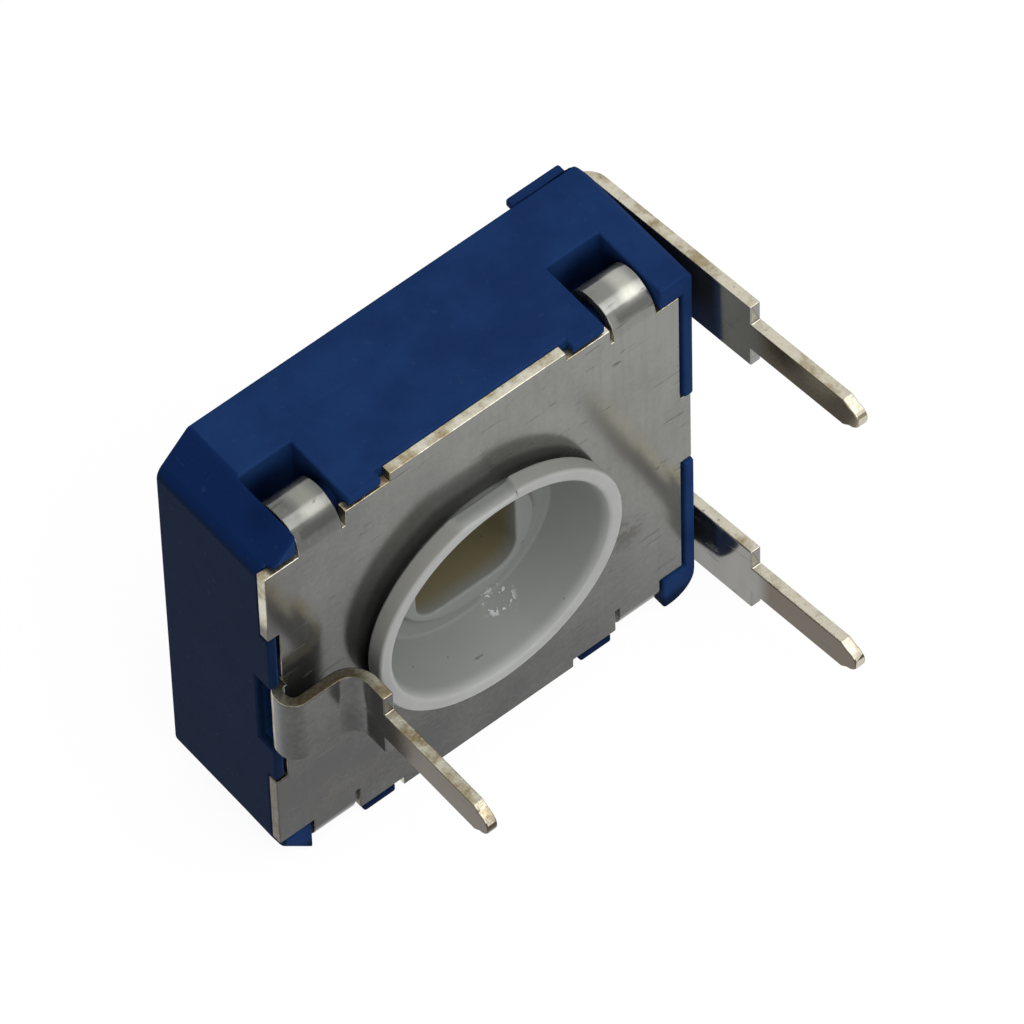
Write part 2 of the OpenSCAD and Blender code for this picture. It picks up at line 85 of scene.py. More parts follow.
class Bench:
    """Modelling by hand with Blender's operators, in millimetres."""

    @staticmethod
    def clear() -> None:
        """Leaves nothing selected."""
        if bpy.context.object and bpy.context.object.mode == "EDIT":
            Bench.mode("OBJECT")
        bpy.ops.object.select_all(action="DESELECT")

    @staticmethod
    def take(piece: Piece) -> Piece:
        """Selects one piece and nothing else, and makes it active.

        Args:
            piece: The piece to work on.

        Returns:
            The same piece.
        """
        Bench.clear()
        piece.hide_viewport = False
        piece.select_set(True)
        bpy.context.view_layer.objects.active = piece
        return piece

    @staticmethod
    def fix(piece: Piece) -> Piece:
        """Puts the piece's place, turn and scale into its mesh."""
        Bench.take(piece)
        bpy.ops.object.transform_apply(location=True, rotation=True, scale=True)
        return piece

    @staticmethod
    def block(low: Sequence[float], high: Sequence[float]) -> Piece:
        """Adds a block.

        Args:
            low: Its lowest corner.
            high: Its highest corner.

        Returns:
            The block.
        """
        Bench.clear()
        middle = [(a + b) / 2 for a, b in zip(low, high)]
        bpy.ops.mesh.primitive_cube_add(size=1, location=middle)
        piece = bpy.context.object
        piece.scale = [b - a for a, b in zip(low, high)]
        return Bench.fix(piece)

    @staticmethod
    def mode(name: str) -> None:
        """Goes to the mode EDIT or OBJECT."""
        bpy.ops.object.mode_set(mode=name)

    @staticmethod
    def rod(centre: Point, radius: float, start: float, end: float, sides: int = 96, axis: Axis = Axis.Y) -> Piece:
        """Adds a round rod.

        Args:
            centre: Its middle in the two other directions, in their order.
            radius: Its radius.
            start: Where it starts along its axis.
            end: Where it ends along its axis.
            sides: How many sides it has.
            axis: The direction in which it runs.

        Returns:
            The rod.
        """
        Bench.clear()
        place = list(centre)
        place.insert(axis.value, (start + end) / 2)
        turn = {Axis.X: (0, math.pi / 2, 0), Axis.Y: (math.pi / 2, 0, 0), Axis.Z: (0, 0, 0)}[axis]
        bpy.ops.mesh.primitive_cylinder_add(
            vertices=sides, radius=radius, depth=end - start, location=place, rotation=turn
        )
        return Bench.fix(bpy.context.object)

    @staticmethod
    def edit(piece: Piece, kind: str, picked: Callable[[object, bpy.types.Mesh], bool]) -> None:
        """Enters edit mode with chosen elements selected.

        Args:
            piece: The piece to work on.
            kind: VERT, EDGE or FACE.
            picked: Says of an element and its mesh whether it is selected.
        """
        Bench.take(piece)
        Bench.mode("EDIT")
        bpy.ops.mesh.select_mode(type=kind)
        bpy.ops.mesh.select_all(action="DESELECT")
        Bench.mode("OBJECT")
        mesh = piece.data
        for element in {"VERT": mesh.vertices, "EDGE": mesh.edges, "FACE": mesh.polygons}[kind]:
            element.select = picked(element, mesh)
        Bench.mode("EDIT")

    @staticmethod
    def round_corner(piece: Piece, axis: Axis, at: Point, radius: float, steps: int = 6) -> Piece:
        """Rounds or chamfers the edges that run along an axis through one point.

        Args:
            piece: The piece to work on.
            axis: The direction in which the edges run.
            at: Where they lie in the two other directions, in their order.
            radius: The radius, or the chamfer's width.
            steps: How many strips it gets, 1 for a chamfer.

        Returns:
            The same piece.
        """

        def on_line(edge: bpy.types.MeshEdge, mesh: bpy.types.Mesh) -> bool:
            """Whether both ends lie on the line."""
            for v in edge.vertices:
                rest = [c for n, c in enumerate(mesh.vertices[v].co) if n != axis.value]
                if abs(rest[0] - at[0]) > 1e-3 or abs(rest[1] - at[1]) > 1e-3:
                    return False
            return True

        Bench.edit(piece, "EDGE", on_line)
        bpy.ops.mesh.bevel(offset=radius, segments=steps, affect="EDGES", clamp_overlap=False)
        Bench.mode("OBJECT")
        return piece

    @staticmethod
    def sheet(outline: Sequence[Point], axis: Axis, start: float, end: float) -> Piece:
        """Makes a flat solid from its outline: a disc is added, drawn out to the outline and extruded.

        Args:
            outline: The outline's points in the two other directions, in their order.
            axis: The direction of its thickness.
            start: Where it starts along that direction.
            end: Where it ends.

        Returns:
            The solid.
        """
        Bench.clear()
        bpy.ops.mesh.primitive_circle_add(vertices=len(outline), radius=1, fill_type="NGON")
        piece = bpy.context.object
        for vertex, point in zip(piece.data.vertices, outline):
            place = list(point)
            place.insert(axis.value, start)
            vertex.co = place
        step = [0.0, 0.0, 0.0]
        step[axis.value] = end - start
        Bench.edit(piece, "FACE", lambda f, m: True)
        bpy.ops.mesh.extrude_region_move(TRANSFORM_OT_translate={"value": step})
        return Bench.outward(piece)

    @staticmethod
    def outward(piece: Piece, near: float = WELD) -> Piece:
        """Merges doubles and turns every face outwards.

        Args:
            piece: The piece to work on.
            near: How close two points are when they are one.

        Returns:
            The same piece.
        """
        Bench.take(piece)
        Bench.mode("EDIT")
        bpy.ops.mesh.select_all(action="SELECT")
        bpy.ops.mesh.remove_doubles(threshold=near)
        bpy.ops.mesh.normals_make_consistent(inside=False)
        Bench.mode("OBJECT")
        if sum(face.center.dot(face.normal) * face.area for face in piece.data.polygons) < 0:
            Bench.mode("EDIT")
            bpy.ops.mesh.flip_normals()
            Bench.mode("OBJECT")
        return piece

    @staticmethod
    def lathe(
        section: Sequence[Point], centre: Point, steps: int = 128, start: float = 0.0, sweep: float = 360.0
    ) -> Piece:
        """Turns a closed section around a line that runs along Y.

        Args:
            section: The section's points as radius and Y.
            centre: The line's place in X and Z.
            steps: How many steps the turn has.
            start: The angle at which it starts, in degrees from X towards Z.
            sweep: How far it turns, in degrees.

        Returns:
            The turned solid.
        """
        Bench.clear()
        whole = sweep >= 360.0
        fill = "NOTHING" if whole else "NGON"
        bpy.ops.mesh.primitive_circle_add(vertices=len(section), radius=1, fill_type=fill)
        piece = bpy.context.object
        first = math.radians(start)
        for vertex, (radius, y) in zip(piece.data.vertices, section):
            vertex.co = (centre[0] + radius * math.cos(first), y, centre[1] + radius * math.sin(first))
        Bench.edit(piece, "EDGE" if whole else "FACE", lambda e, m: True)
        middle, turn = (centre[0], 0, centre[1]), math.radians(sweep)
        bpy.ops.mesh.spin(steps=steps, angle=turn, center=middle, axis=(0, 1, 0), use_auto_merge=whole)
        bpy.ops.mesh.select_all(action="SELECT")
        bpy.ops.mesh.remove_doubles(threshold=WELD)
        bpy.ops.mesh.dissolve_degenerate(threshold=WELD)
        Bench.mode("OBJECT")
        return Bench.outward(piece)

    @staticmethod
    def combine(piece: Piece, tool: Piece, how: str) -> Piece:
        """Joins a tool to a piece or cuts the piece with it.

        Args:
            piece: The piece that stays.
            tool: The other piece, which is used up.
            how: UNION, DIFFERENCE or INTERSECT.

        Returns:
            The piece.
        """
        Bench.take(piece)
        step = piece.modifiers.new(how.title(), "BOOLEAN")
        step.operation = how
        step.solver = "EXACT"
        step.object = tool
        bpy.ops.object.modifier_apply(modifier=step.name)
        bpy.data.objects.remove(tool)
        return piece

    @staticmethod
    def add(piece: Piece, *tools: Piece) -> Piece:
        """Joins tools to a piece, one after the other, and returns the piece."""
        for tool in tools:
            Bench.combine(piece, tool, "UNION")
        return piece

    @staticmethod
    def cut(piece: Piece, *tools: Piece) -> Piece:
        """Cuts tools out of a piece, one after the other, and returns the piece."""
        for tool in tools:
            Bench.combine(piece, tool, "DIFFERENCE")
        return piece

    @staticmethod
    def tidy_faces(
        piece: Piece, halved: Sequence[tuple[Axis, float]] = (), angle: float = 0.4, near: float = 2e-4
    ) -> Piece:
        """Takes out the seams that joining leaves in flat faces.

        Args:
            piece: The piece to work on.
            halved: Planes through the holes that are to stay seams, so that no face is left with a hole in it.
            angle: How far apart two faces may point and still be one, in degrees.
            near: How close two points are when they are one.

        Returns:
            The same piece.
        """
        Bench.outward(piece, near)
        Bench.mode("EDIT")
        for axis, at in halved:
            across = [float(n == axis.value) for n in range(3)]
            bpy.ops.mesh.select_all(action="SELECT")
            bpy.ops.mesh.bisect(plane_co=[at * c for c in across], plane_no=across, threshold=1e-5)
            bpy.ops.mesh.mark_seam()
        bpy.ops.mesh.select_all(action="SELECT")
        bpy.ops.mesh.dissolve_limited(angle_limit=math.radians(angle), delimit={"SEAM"})
        Bench.mode("OBJECT")
        return piece

    @staticmethod
    def soften(piece: Piece, width: float, steps: int = 2, angle: float = 32.0) -> Piece:
        """Rounds every sharp edge a little, and lays back on the surface what that throws clear of it.

        Args:
            piece: The piece to work on.
            width: The width of the rounding.
            steps: How many strips it has.
            angle: Edges that turn by more than this are sharp, in degrees.

        Returns:
            The same piece.
        """
        mesh = piece.data
        thrown = 0.45 * width  # a true rounding never leaves the old surface by this much
        before = BVHTree.FromPolygons([v.co.copy() for v in mesh.vertices], [p.vertices for p in mesh.polygons])
        low, high = ([pick(v.co[n] for v in mesh.vertices) for n in range(3)] for pick in (min, max))
        Bench.take(piece)
        edge = piece.modifiers.new("Soften", "BEVEL")
        edge.width = width
        edge.segments = steps
        edge.limit_method = "ANGLE"
        edge.angle_limit = math.radians(angle)
        edge.use_clamp_overlap = False
        bpy.ops.object.modifier_apply(modifier=edge.name)
        for vertex in piece.data.vertices:
            nearest, _, _, far = before.find_nearest(vertex.co)
            if far > thrown:
                vertex.co = nearest
            vertex.co = [min(max(c, a), b) for c, a, b in zip(vertex.co, low, high)]
        Bench.outward(piece, 20 * WELD)
        Bench.mode("EDIT")
        bpy.ops.mesh.select_all(action="SELECT")
        bpy.ops.mesh.dissolve_degenerate(threshold=5 * WELD)
        bpy.ops.mesh.quads_convert_to_tris(quad_method="BEAUTY", ngon_method="BEAUTY")
        Bench.mode("OBJECT")
        uses = Counter(key for face in piece.data.polygons for key in face.edge_keys)
        Bench.edit(piece, "FACE", lambda face, mesh: any(uses[key] == 1 for key in face.edge_keys))
        bpy.ops.mesh.delete(type="FACE")
        Bench.mode("OBJECT")
        return piece

    @staticmethod
    def shade(piece: Piece) -> None:
        """Shades a piece smoothly, with the broad flats kept flat: each plane counts at a point with its whole area."""
        Bench.take(piece)
        bpy.ops.object.shade_smooth()
        mesh = piece.data
        planes = []
        areas: Counter = Counter()
        for face in mesh.polygons:
            plane = (*(round(c, 2) for c in face.normal), round(face.center.dot(face.normal) / MM, 1))
            planes.append(plane)
            areas[plane] += face.area
        sums = [dict() for _ in mesh.vertices]
        for face, plane in zip(mesh.polygons, planes):
            for vertex in face.vertices:
                sums[vertex][plane] = face.normal * areas[plane]
        normals = [sum(parts.values(), Vector()).normalized() for parts in sums]
        mesh.normals_split_custom_set_from_vertices(normals)

    @staticmethod
    def finish(
        piece: Piece, name: str, node: str, body: str, slot: str, materials: Sequence[Material]
    ) -> Piece:
        """Brings a piece to metres, shades it, dresses it and lets it stand for its solid.

        Args:
            piece: The finished piece in millimetres.
            name: The piece's name.
            node: The solid that it stands for.
            body: The body that it rides on.
            slot: A material slot's name; it is not used.
            materials: Its materials, the first for every face that asks for no other.

        Returns:
            The same piece.
        """
        Bench.take(piece)
        piece.scale = (MM, MM, MM)
        Bench.fix(piece)
        Bench.shade(piece)
        for material in materials:
            piece.data.materials.append(material)
        piece.name = name
        piece.data.name = name
        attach(piece, body)
        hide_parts(node)
        log.info("%s stands for %s: %d faces", name, node, len(piece.data.polygons))
        return piece


@dataclass(frozen=True)
class Straight:
    """A straight length of a bent strip."""

    length: float


@dataclass(frozen=True)
class Bend:
    """A bend of a strip: its inner radius and its turn in degrees, positive to the strip's left."""

    radius: float
    turn: float
    steps: int = 10


Move = Union[Straight, Bend]


@dataclass
class Strip:
    """A strip that is bent out of a piece of sheet, starting from one of its end faces."""

    start: Vector
    heading: Vector
    across: Vector
    thick: float

    def run(self, piece: Piece, moves: Sequence[Move]) -> Piece:
        """Runs the strip out of the face whose middle is at its start.

        Args:
            piece: The piece of sheet.
            moves: The strip's straight lengths and bends, in order.

        Returns:
            The piece with the strip.
        """
        place, heading = self.start.copy(), self.heading.copy()
        side = self.across.cross(heading)
        Bench.edit(piece, "FACE", lambda f, m: (f.center - place).length < 0.1 and f.normal.dot(heading) > 0.99)
        for move in moves:
            if isinstance(move, Straight):
                bpy.ops.mesh.extrude_region_move(TRANSFORM_OT_translate={"value": heading * move.length})
                place = place + heading * move.length
                continue
            sign = 1 if move.turn > 0 else -1
            centre = place + side * (sign * (move.radius + self.thick / 2))
            angle = math.radians(move.turn)
            bpy.ops.mesh.spin(steps=move.steps, angle=-angle, center=centre, axis=self.across, use_auto_merge=False)
            spin = Matrix.Rotation(angle, 4, self.across)
            place = centre + spin @ (place - centre)
            heading = (spin @ heading).normalized()
            side = self.across.cross(heading)
        bpy.ops.mesh.select_all(action="SELECT")
        bpy.ops.mesh.remove_doubles(threshold=WELD)
        bpy.ops.mesh.select_all(action="DESELECT")
        bpy.ops.mesh.select_interior_faces()
        bpy.ops.mesh.delete(type="FACE")
        Bench.mode("OBJECT")
        return Bench.outward(piece)


# ---------------------------------------------------------------------------------------------- finishes


class Wire:
    """A shader socket that takes part in sums; each sum adds its Math node."""

    def __init__(self, sheet: "Nodes", socket: bpy.types.NodeSocket) -> None:
        """Keeps the socket and the sheet of nodes that it is on."""
        self.sheet, self.socket = sheet, socket

    def _sum(self, operation: str, a: "Value", b: "Value") -> "Wire":
        """Adds one Math node.

        Args:
            operation: The node's operation.
            a: Its first value.
            b: Its second value.

        Returns:
            The node's result.
        """
        return self.sheet.add("ShaderNodeMath", {"operation": operation}, {0: a, 1: b})

    def __add__(self, other: "Value") -> "Wire":
        """self + other."""
        return self._sum("ADD", self, other)

    __radd__ = __add__

    def __sub__(self, other: "Value") -> "Wire":
        """self - other."""
        return self._sum("SUBTRACT", self, other)

    def __rsub__(self, other: "Value") -> "Wire":
        """other - self."""
        return self._sum("SUBTRACT", other, self)

    def __mul__(self, other: "Value") -> "Wire":
        """self * other."""
        return self._sum("MULTIPLY", self, other)

    def most(self, other: "Value") -> "Wire":
        """The larger of self and other."""
        return self._sum("MAXIMUM", self, other)

    def size(self) -> "Wire":
        """The value without its sign."""
        return self.most(self * -1)

    def other(self, name: str) -> "Wire":
        """Another output of the same node."""
        return Wire(self.sheet, self.socket.node.outputs[name])

    def ramp(self, low: float, high: float, first: float = 0.0, last: float = 1.0) -> "Wire":
        """Maps low to first and high to last, smoothly and without running past them.

        Args:
            low: The value that gives first.
            high: The value that gives last.
            first: The result at low.
            last: The result at high.

        Returns:
            The mapped value.
        """
        return self.sheet.add(
            "ShaderNodeMapRange",
            {"interpolation_type": "SMOOTHSTEP"},
            {"Value": self, "From Min": low, "From Max": high, "To Min": first, "To Max": last},
        )


Value = Union[Wire, float, int, tuple]


class Nodes:
    """The nodes of one material or world, with places counted in millimetres."""

    def __init__(self, owner: Material | bpy.types.World) -> None:
        """Empties the owner's sheet of nodes."""
        owner.use_nodes = True
        self.owner, self.tree = owner, owner.node_tree
        self.tree.nodes.clear()

    @classmethod
    def named(cls, name: str) -> "Nodes":
        """Starts a new material."""
        return cls(bpy.data.materials.new(name))

    @cached_property
    def mm(self) -> Wire:
        """The place on the piece, in millimetres."""
        place = self.add("ShaderNodeTexCoord", out="Object")
        return self.add("ShaderNodeVectorMath", {"operation": "SCALE"}, {0: place, "Scale": 1 / MM})

    def add(
        self,
        kind: str,
        settings: dict[str, object] | None = None,
        inputs: dict[str | int, "Value"] | None = None,
        out: str | int = 0,
    ) -> Wire:
        """Adds any node.

        Args:
            kind: The node's type.
            settings: What is set on the node itself, first.
            inputs: Values or wires of its sockets.
            out: Which output is wanted.

        Returns:
            That output.
        """
        node = self.tree.nodes.new(kind)
        for key, value in (settings or {}).items():
            setattr(node, key, value)
        for key, value in (inputs or {}).items():
            if isinstance(value, Wire):
                self.tree.links.new(value.socket, node.inputs[key])
            else:
                node.inputs[key].default_value = value
        return Wire(self, node.outputs[out])

    def noise(self, per_mm: float, detail: float = 3.0, rough: float = 0.55, at: Wire | None = None) -> Wire:
        """Soft random spots.

        Args:
            per_mm: How many spots there are in a millimetre.
            detail: How many finer layers they have.
            rough: How strong the finer layers are.
            at: Where they are read, if not at the plain place.

        Returns:
            A value around one half.
        """
        inputs = {"Vector": at or self.mm, "Scale": per_mm, "Detail": detail, "Roughness": rough}
        return self.add("ShaderNodeTexNoise", None, inputs)

    def stretched(self, scale: Place, turn: Place = (0, 0, 0), shift: Place = (0, 0, 0)) -> Wire:
        """The place in millimetres, turned in degrees, shifted and scaled."""
        angles = tuple(math.radians(t) for t in turn)
        inputs = {"Vector": self.mm, "Location": shift, "Rotation": angles, "Scale": scale}
        return self.add("ShaderNodeMapping", {"vector_type": "POINT"}, inputs)

    def along(self, axis: Axis) -> Wire:
        """The place along one axis, in millimetres."""
        return self.add("ShaderNodeSeparateXYZ", None, {0: self.mm}, axis.value)

    def near(self, centre: Sequence[float], radius: float, soft: float) -> Wire:
        """A soft ball around a place.

        Args:
            centre: The ball's middle.
            radius: Where it starts to fade.
            soft: How far it takes to fade.

        Returns:
            1 inside and 0 outside.
        """
        far = self.add("ShaderNodeVectorMath", {"operation": "DISTANCE"}, {0: self.mm, 1: tuple(centre)}, "Value")
        return far.ramp(radius, radius + soft, 1.0, 0.0)

    def mix(self, share: "Value", a: "Wire | Colour", b: "Wire | Colour") -> Wire:
        """Mixes two colours; share 0 gives a, share 1 gives b."""
        full = [c if isinstance(c, Wire) else (*c, 1.0) for c in (a, b)]
        return self.add("ShaderNodeMix", {"data_type": "RGBA"}, {0: share, 6: full[0], 7: full[1]}, 2)

    def bump(self, height: Wire, depth_mm: float, under: Wire | None = None) -> Wire:
        """A bump of a given depth.

        Args:
            height: The height, from 0 to 1.
            depth_mm: How deep 1 is.
            under: An earlier bump that it lies on.

        Returns:
            The bent normal.
        """
        inputs: dict[str | int, Value] = {"Strength": 1.0, "Distance": depth_mm * MM, "Height": height}
        if under:
            inputs["Normal"] = under
        return self.add("ShaderNodeBump", None, inputs)

    def end(self, surface: Wire, kind: str = "ShaderNodeOutputMaterial") -> Material | bpy.types.World:
        """Leads a surface to the output.

        Args:
            surface: The shader.
            kind: The output node's type.

        Returns:
            The finished material or world.
        """
        output = self.tree.nodes.new(kind)
        self.tree.links.new(surface.socket, output.inputs["Surface"])
        return self.owner

    def finish(self, varying: dict[str, "Value"], fixed: dict[str, object] | None = None) -> Material:
        """Adds the surface itself.

        Args:
            varying: The sockets that change over the surface.
            fixed: The sockets that are the same all over it.

        Returns:
            The material.
        """
        return self.end(self.add("ShaderNodeBsdfPrincipled", None, {**(fixed or {}), **varying}))


@dataclass(frozen=True)
class HousingPlastic:
    """Satin dark blue moulding with fine grain, dust and faint scuffs; painted shade on the left wall, chamfer, foot
    and pockets.
    """

    name: str = "blue_moulding"
    deep: Colour = (0.0090, 0.028, 0.102)
    light: Colour = (0.0130, 0.041, 0.134)
    # Painted shade colours: wall for the left wall, shade for the foot and the pockets, corner for the top-left
    # chamfer.
    wall: Colour = (0.0050, 0.013, 0.034)
    shade: Colour = (0.001, 0.004, 0.020)
    corner: Colour = (0.0050, 0.019, 0.084)
    dust: Colour = (0.035, 0.060, 0.130)
    # Where the painted shade starts on the left wall, the top-left chamfer and the foot.
    wall_x: float = -6.12
    corner_from: float = 18.22
    foot_z: Point = (0.2, 0.6)
    # Centres of the painted shade in the tab pockets, and its radius and fade.
    pockets: tuple[Place, ...] = ()
    pocket_r: Point = (0.95, 0.48)
    shine: float = 0.008

    def material(self) -> Material:
        """Builds the material."""
        n = Nodes.named(self.name)
        x, z = n.along(Axis.X), n.along(Axis.Z)
        cloud = n.noise(0.55, 4.0, 0.6)
        grain = n.noise(9.0, 2.0, 0.7)
        fleck = n.noise(5.5, 1.0, 0.4).ramp(0.70, 0.80)
        scuff = n.noise(1.0, 3.0, 0.6, n.stretched((0.5, 4.0, 1.4), (0, 18, 38))).ramp(0.62, 0.80)
        colour = n.mix(cloud.ramp(0.35, 0.65) * 0.7 + grain * 0.3, self.deep, self.light)
        # Painted shade: the left wall is darker than the top.
        colour = n.mix(x.ramp(self.wall_x, self.wall_x + 0.05, 0.85, 0.0), colour, self.wall)
        # Painted shade: the top-left chamfer is darker.
        colour = n.mix((z - x).ramp(self.corner_from, self.corner_from + 0.08) * 0.85, colour, self.corner)
        # Painted shade: darker along the bottom.
        colour = n.mix(z.ramp(*self.foot_z, 0.75, 0.0), colour, self.shade)
        # Painted shade inside the four tab pockets.
        for place in self.pockets:
            colour = n.mix(n.near(place, *self.pocket_r) * 0.95, colour, self.shade)
        worn = n.mix((fleck * 0.25).most(scuff * 0.14), colour, self.dust)
        rough = 0.44 + grain * 0.10 + scuff * 0.08
        waves = n.bump(n.noise(0.35, 2.0), 0.03)
        skin = n.bump(n.noise(22.0, 3.0, 0.6), 0.0035, waves)
        fixed = {"IOR": 1.5, "Specular IOR Level": self.shine}
        return n.finish({"Base Color": worn, "Roughness": rough, "Normal": skin}, fixed)


@dataclass(frozen=True)
class TinnedSheet:
    """Bright tinned sheet with handling marks (nicks, scratches, dark patches), painted shade and painted reflections.

    A dark patch is a ball of X, Y, Z and radius. A tab highlight is its X, half its width and its strength.
    """

    name: str
    pale: Colour = (0.228, 0.230, 0.213)
    dull: Colour = (0.048, 0.048, 0.048)
    stain: Colour = (0.060, 0.056, 0.046)
    # Colour of the painted highlight on the tabs.
    bright: Colour = (0.52, 0.52, 0.45)
    rough: float = 0.10
    metal: float = 0.74
    marks: float = 1.0
    # Colours of the painted brown reflection on the pins, darker low and paler high, past pin_y.
    pin_low: Colour = (0.075, 0.048, 0.020)
    pin_high: Colour = (0.260, 0.215, 0.140)
    pin_y: float = -4.4
    # Where the painted shade runs from dark to pale across the sheet.
    fade: Point = (-1.5, 10.0)
    mid_z: float = 6.5
    # Heights over the rotor's axis of the painted dark band at a tab's foot and of the painted highlight over its bend.
    foot: Ball = (5.95, 6.08, 6.16, 6.32)
    hook: Point = (6.2, 6.38)
    dark_patches: tuple[Ball, ...] = ()
    tab_highlights: tuple[Place, ...] = ()

    def material(self) -> Material:
        """Builds the material."""
        n = Nodes.named(self.name)
        x, z = n.along(Axis.X), n.along(Axis.Z)
        cloud = n.noise(0.45, 5.0, 0.62)
        grain = n.noise(7.0, 4.0, 0.68)
        fine = n.noise(24.0, 2.0, 0.6)
        drawn = n.noise(1.0, 3.0, 0.6, n.stretched((6.0, 1.0, 0.35)))
        nick = n.noise(1.0, 2.0, 0.5, n.stretched((1.1, 1.0, 5.2), (0, 52, 0))).ramp(0.655, 0.70)
        nick = nick * n.noise(0.9, 2.0).ramp(0.50, 0.60)
        scratch = n.noise(1.0, 1.0, 0.4, n.stretched((0.55, 1.0, 11.0), (0, 61, 0))).ramp(0.66, 0.69)
        scratch = scratch * n.noise(0.6, 2.0, 0.5, n.stretched((1, 1, 1), shift=(3, 1, 7))).ramp(0.50, 0.58)
        # Painted shade: the sheet grows darker towards the lower left; cloud and grain vary its tone at random.
        painted_shade_slope = (x * 0.53 + z * 0.565).ramp(*self.fade)
        colour = n.mix(painted_shade_slope + (0.5 - cloud) * 0.7 + (0.5 - grain) * 0.5, self.dull, self.pale)
        colour = n.mix(drawn.ramp(0.45, 0.75) * 0.15, colour, self.stain)
        # Painted reflection: the pins are tinted brown, darker the lower they stand.
        pin_reflection = n.mix(z.ramp(7.0, 11.0), self.pin_low, self.pin_high)
        colour = n.mix(n.along(Axis.Y).ramp(self.pin_y, self.pin_y + 0.6, 0.85, 0.0), colour, pin_reflection)
        gleam: Value = 0.0
        height = (z - self.mid_z).size()
        for at, half, share in self.tab_highlights:
            beside = (x - at).size()
            # Painted reflection: a dark band along each tab's foot, where it leaves the plate.
            foot = beside.ramp(0.55, 0.65, 1.0, 0.0) * height.ramp(*self.foot[:2])
            colour = n.mix(foot * height.ramp(*self.foot[2:], 1.0, 0.0) * 0.55, colour, self.dull)
            # Painted highlight: a bright band across each tab's bend.
            band = beside.ramp(half * 0.2, half, 1.0, 0.0) * height.ramp(*self.hook)
            colour = n.mix(band * (0.6 + grain * 0.5) * share, colour, self.bright)
            gleam = band + gleam
        dark = (nick * 0.75).most(scratch * 0.6) * self.marks
        # Soft, noisy dark patches around the given balls.
        for *centre, radius in self.dark_patches:
            patch = n.near(centre, radius * 0.4, radius) * n.noise(2.6, 4.0, 0.7).ramp(0.42, 0.60)
            dark = dark.most(patch * 0.8)
        colour = n.mix(dark, colour, self.stain)
        rough = self.rough + cloud * 0.06 + grain * 0.06 + dark * 0.25 + gleam * 0.10
        dents = n.bump(n.noise(0.30, 1.0, 0.4), 0.03)
        peel = n.bump(grain * 0.6 + fine * 0.4, 0.0012, dents)
        scored = n.bump(1 - dark, 0.002, peel)
        metal = self.metal - dark * 0.4
        return n.finish({"Base Color": colour, "Roughness": rough, "Metallic": metal, "Normal": scored})


@dataclass(frozen=True)
class CutEdge:
    """The sheared edge of tinned sheet, where the yellowish base metal shows in streaks."""

    name: str
    bright: Colour = (0.60, 0.58, 0.48)
    tan: Colour = (0.27, 0.21, 0.11)
    dark: Colour = (0.060, 0.048, 0.030)
    bared: float = 0.5
    dark_spots: tuple[Ball, ...] = ()

    def material(self) -> Material:
        """Builds the material."""
        n = Nodes.named(self.name)
        streak = n.noise(1.3, 4.0, 0.65)
        fine = n.noise(11.0, 3.0, 0.6)
        lift = 0.34 * self.bared
        share = streak.ramp(0.62 - lift, 0.86 - lift) * 0.8 + fine.ramp(0.45, 0.75) * 0.3
        colour = n.mix(share, self.bright, self.tan)
        pit = n.noise(5.0, 2.0, 0.5).ramp(0.66, 0.76)
        colour = n.mix(pit * 0.6, colour, self.dark)
        # Dark spots on the edge; the two at the lower tabs are painted shade in the slits beside them.
        for *centre, radius in self.dark_spots:
            patch = n.near(centre, radius * 0.6, radius * 0.5)
            colour = n.mix(patch * (0.75 + fine * 0.3), colour, self.dark)
        rough = 0.26 + fine * 0.18 + pit * 0.2
        sheared = n.bump(fine * 0.5 + streak * 0.5, 0.02)
        return n.finish({"Base Color": colour, "Roughness": rough, "Metallic": 1 - pit * 0.5, "Normal": sheared})


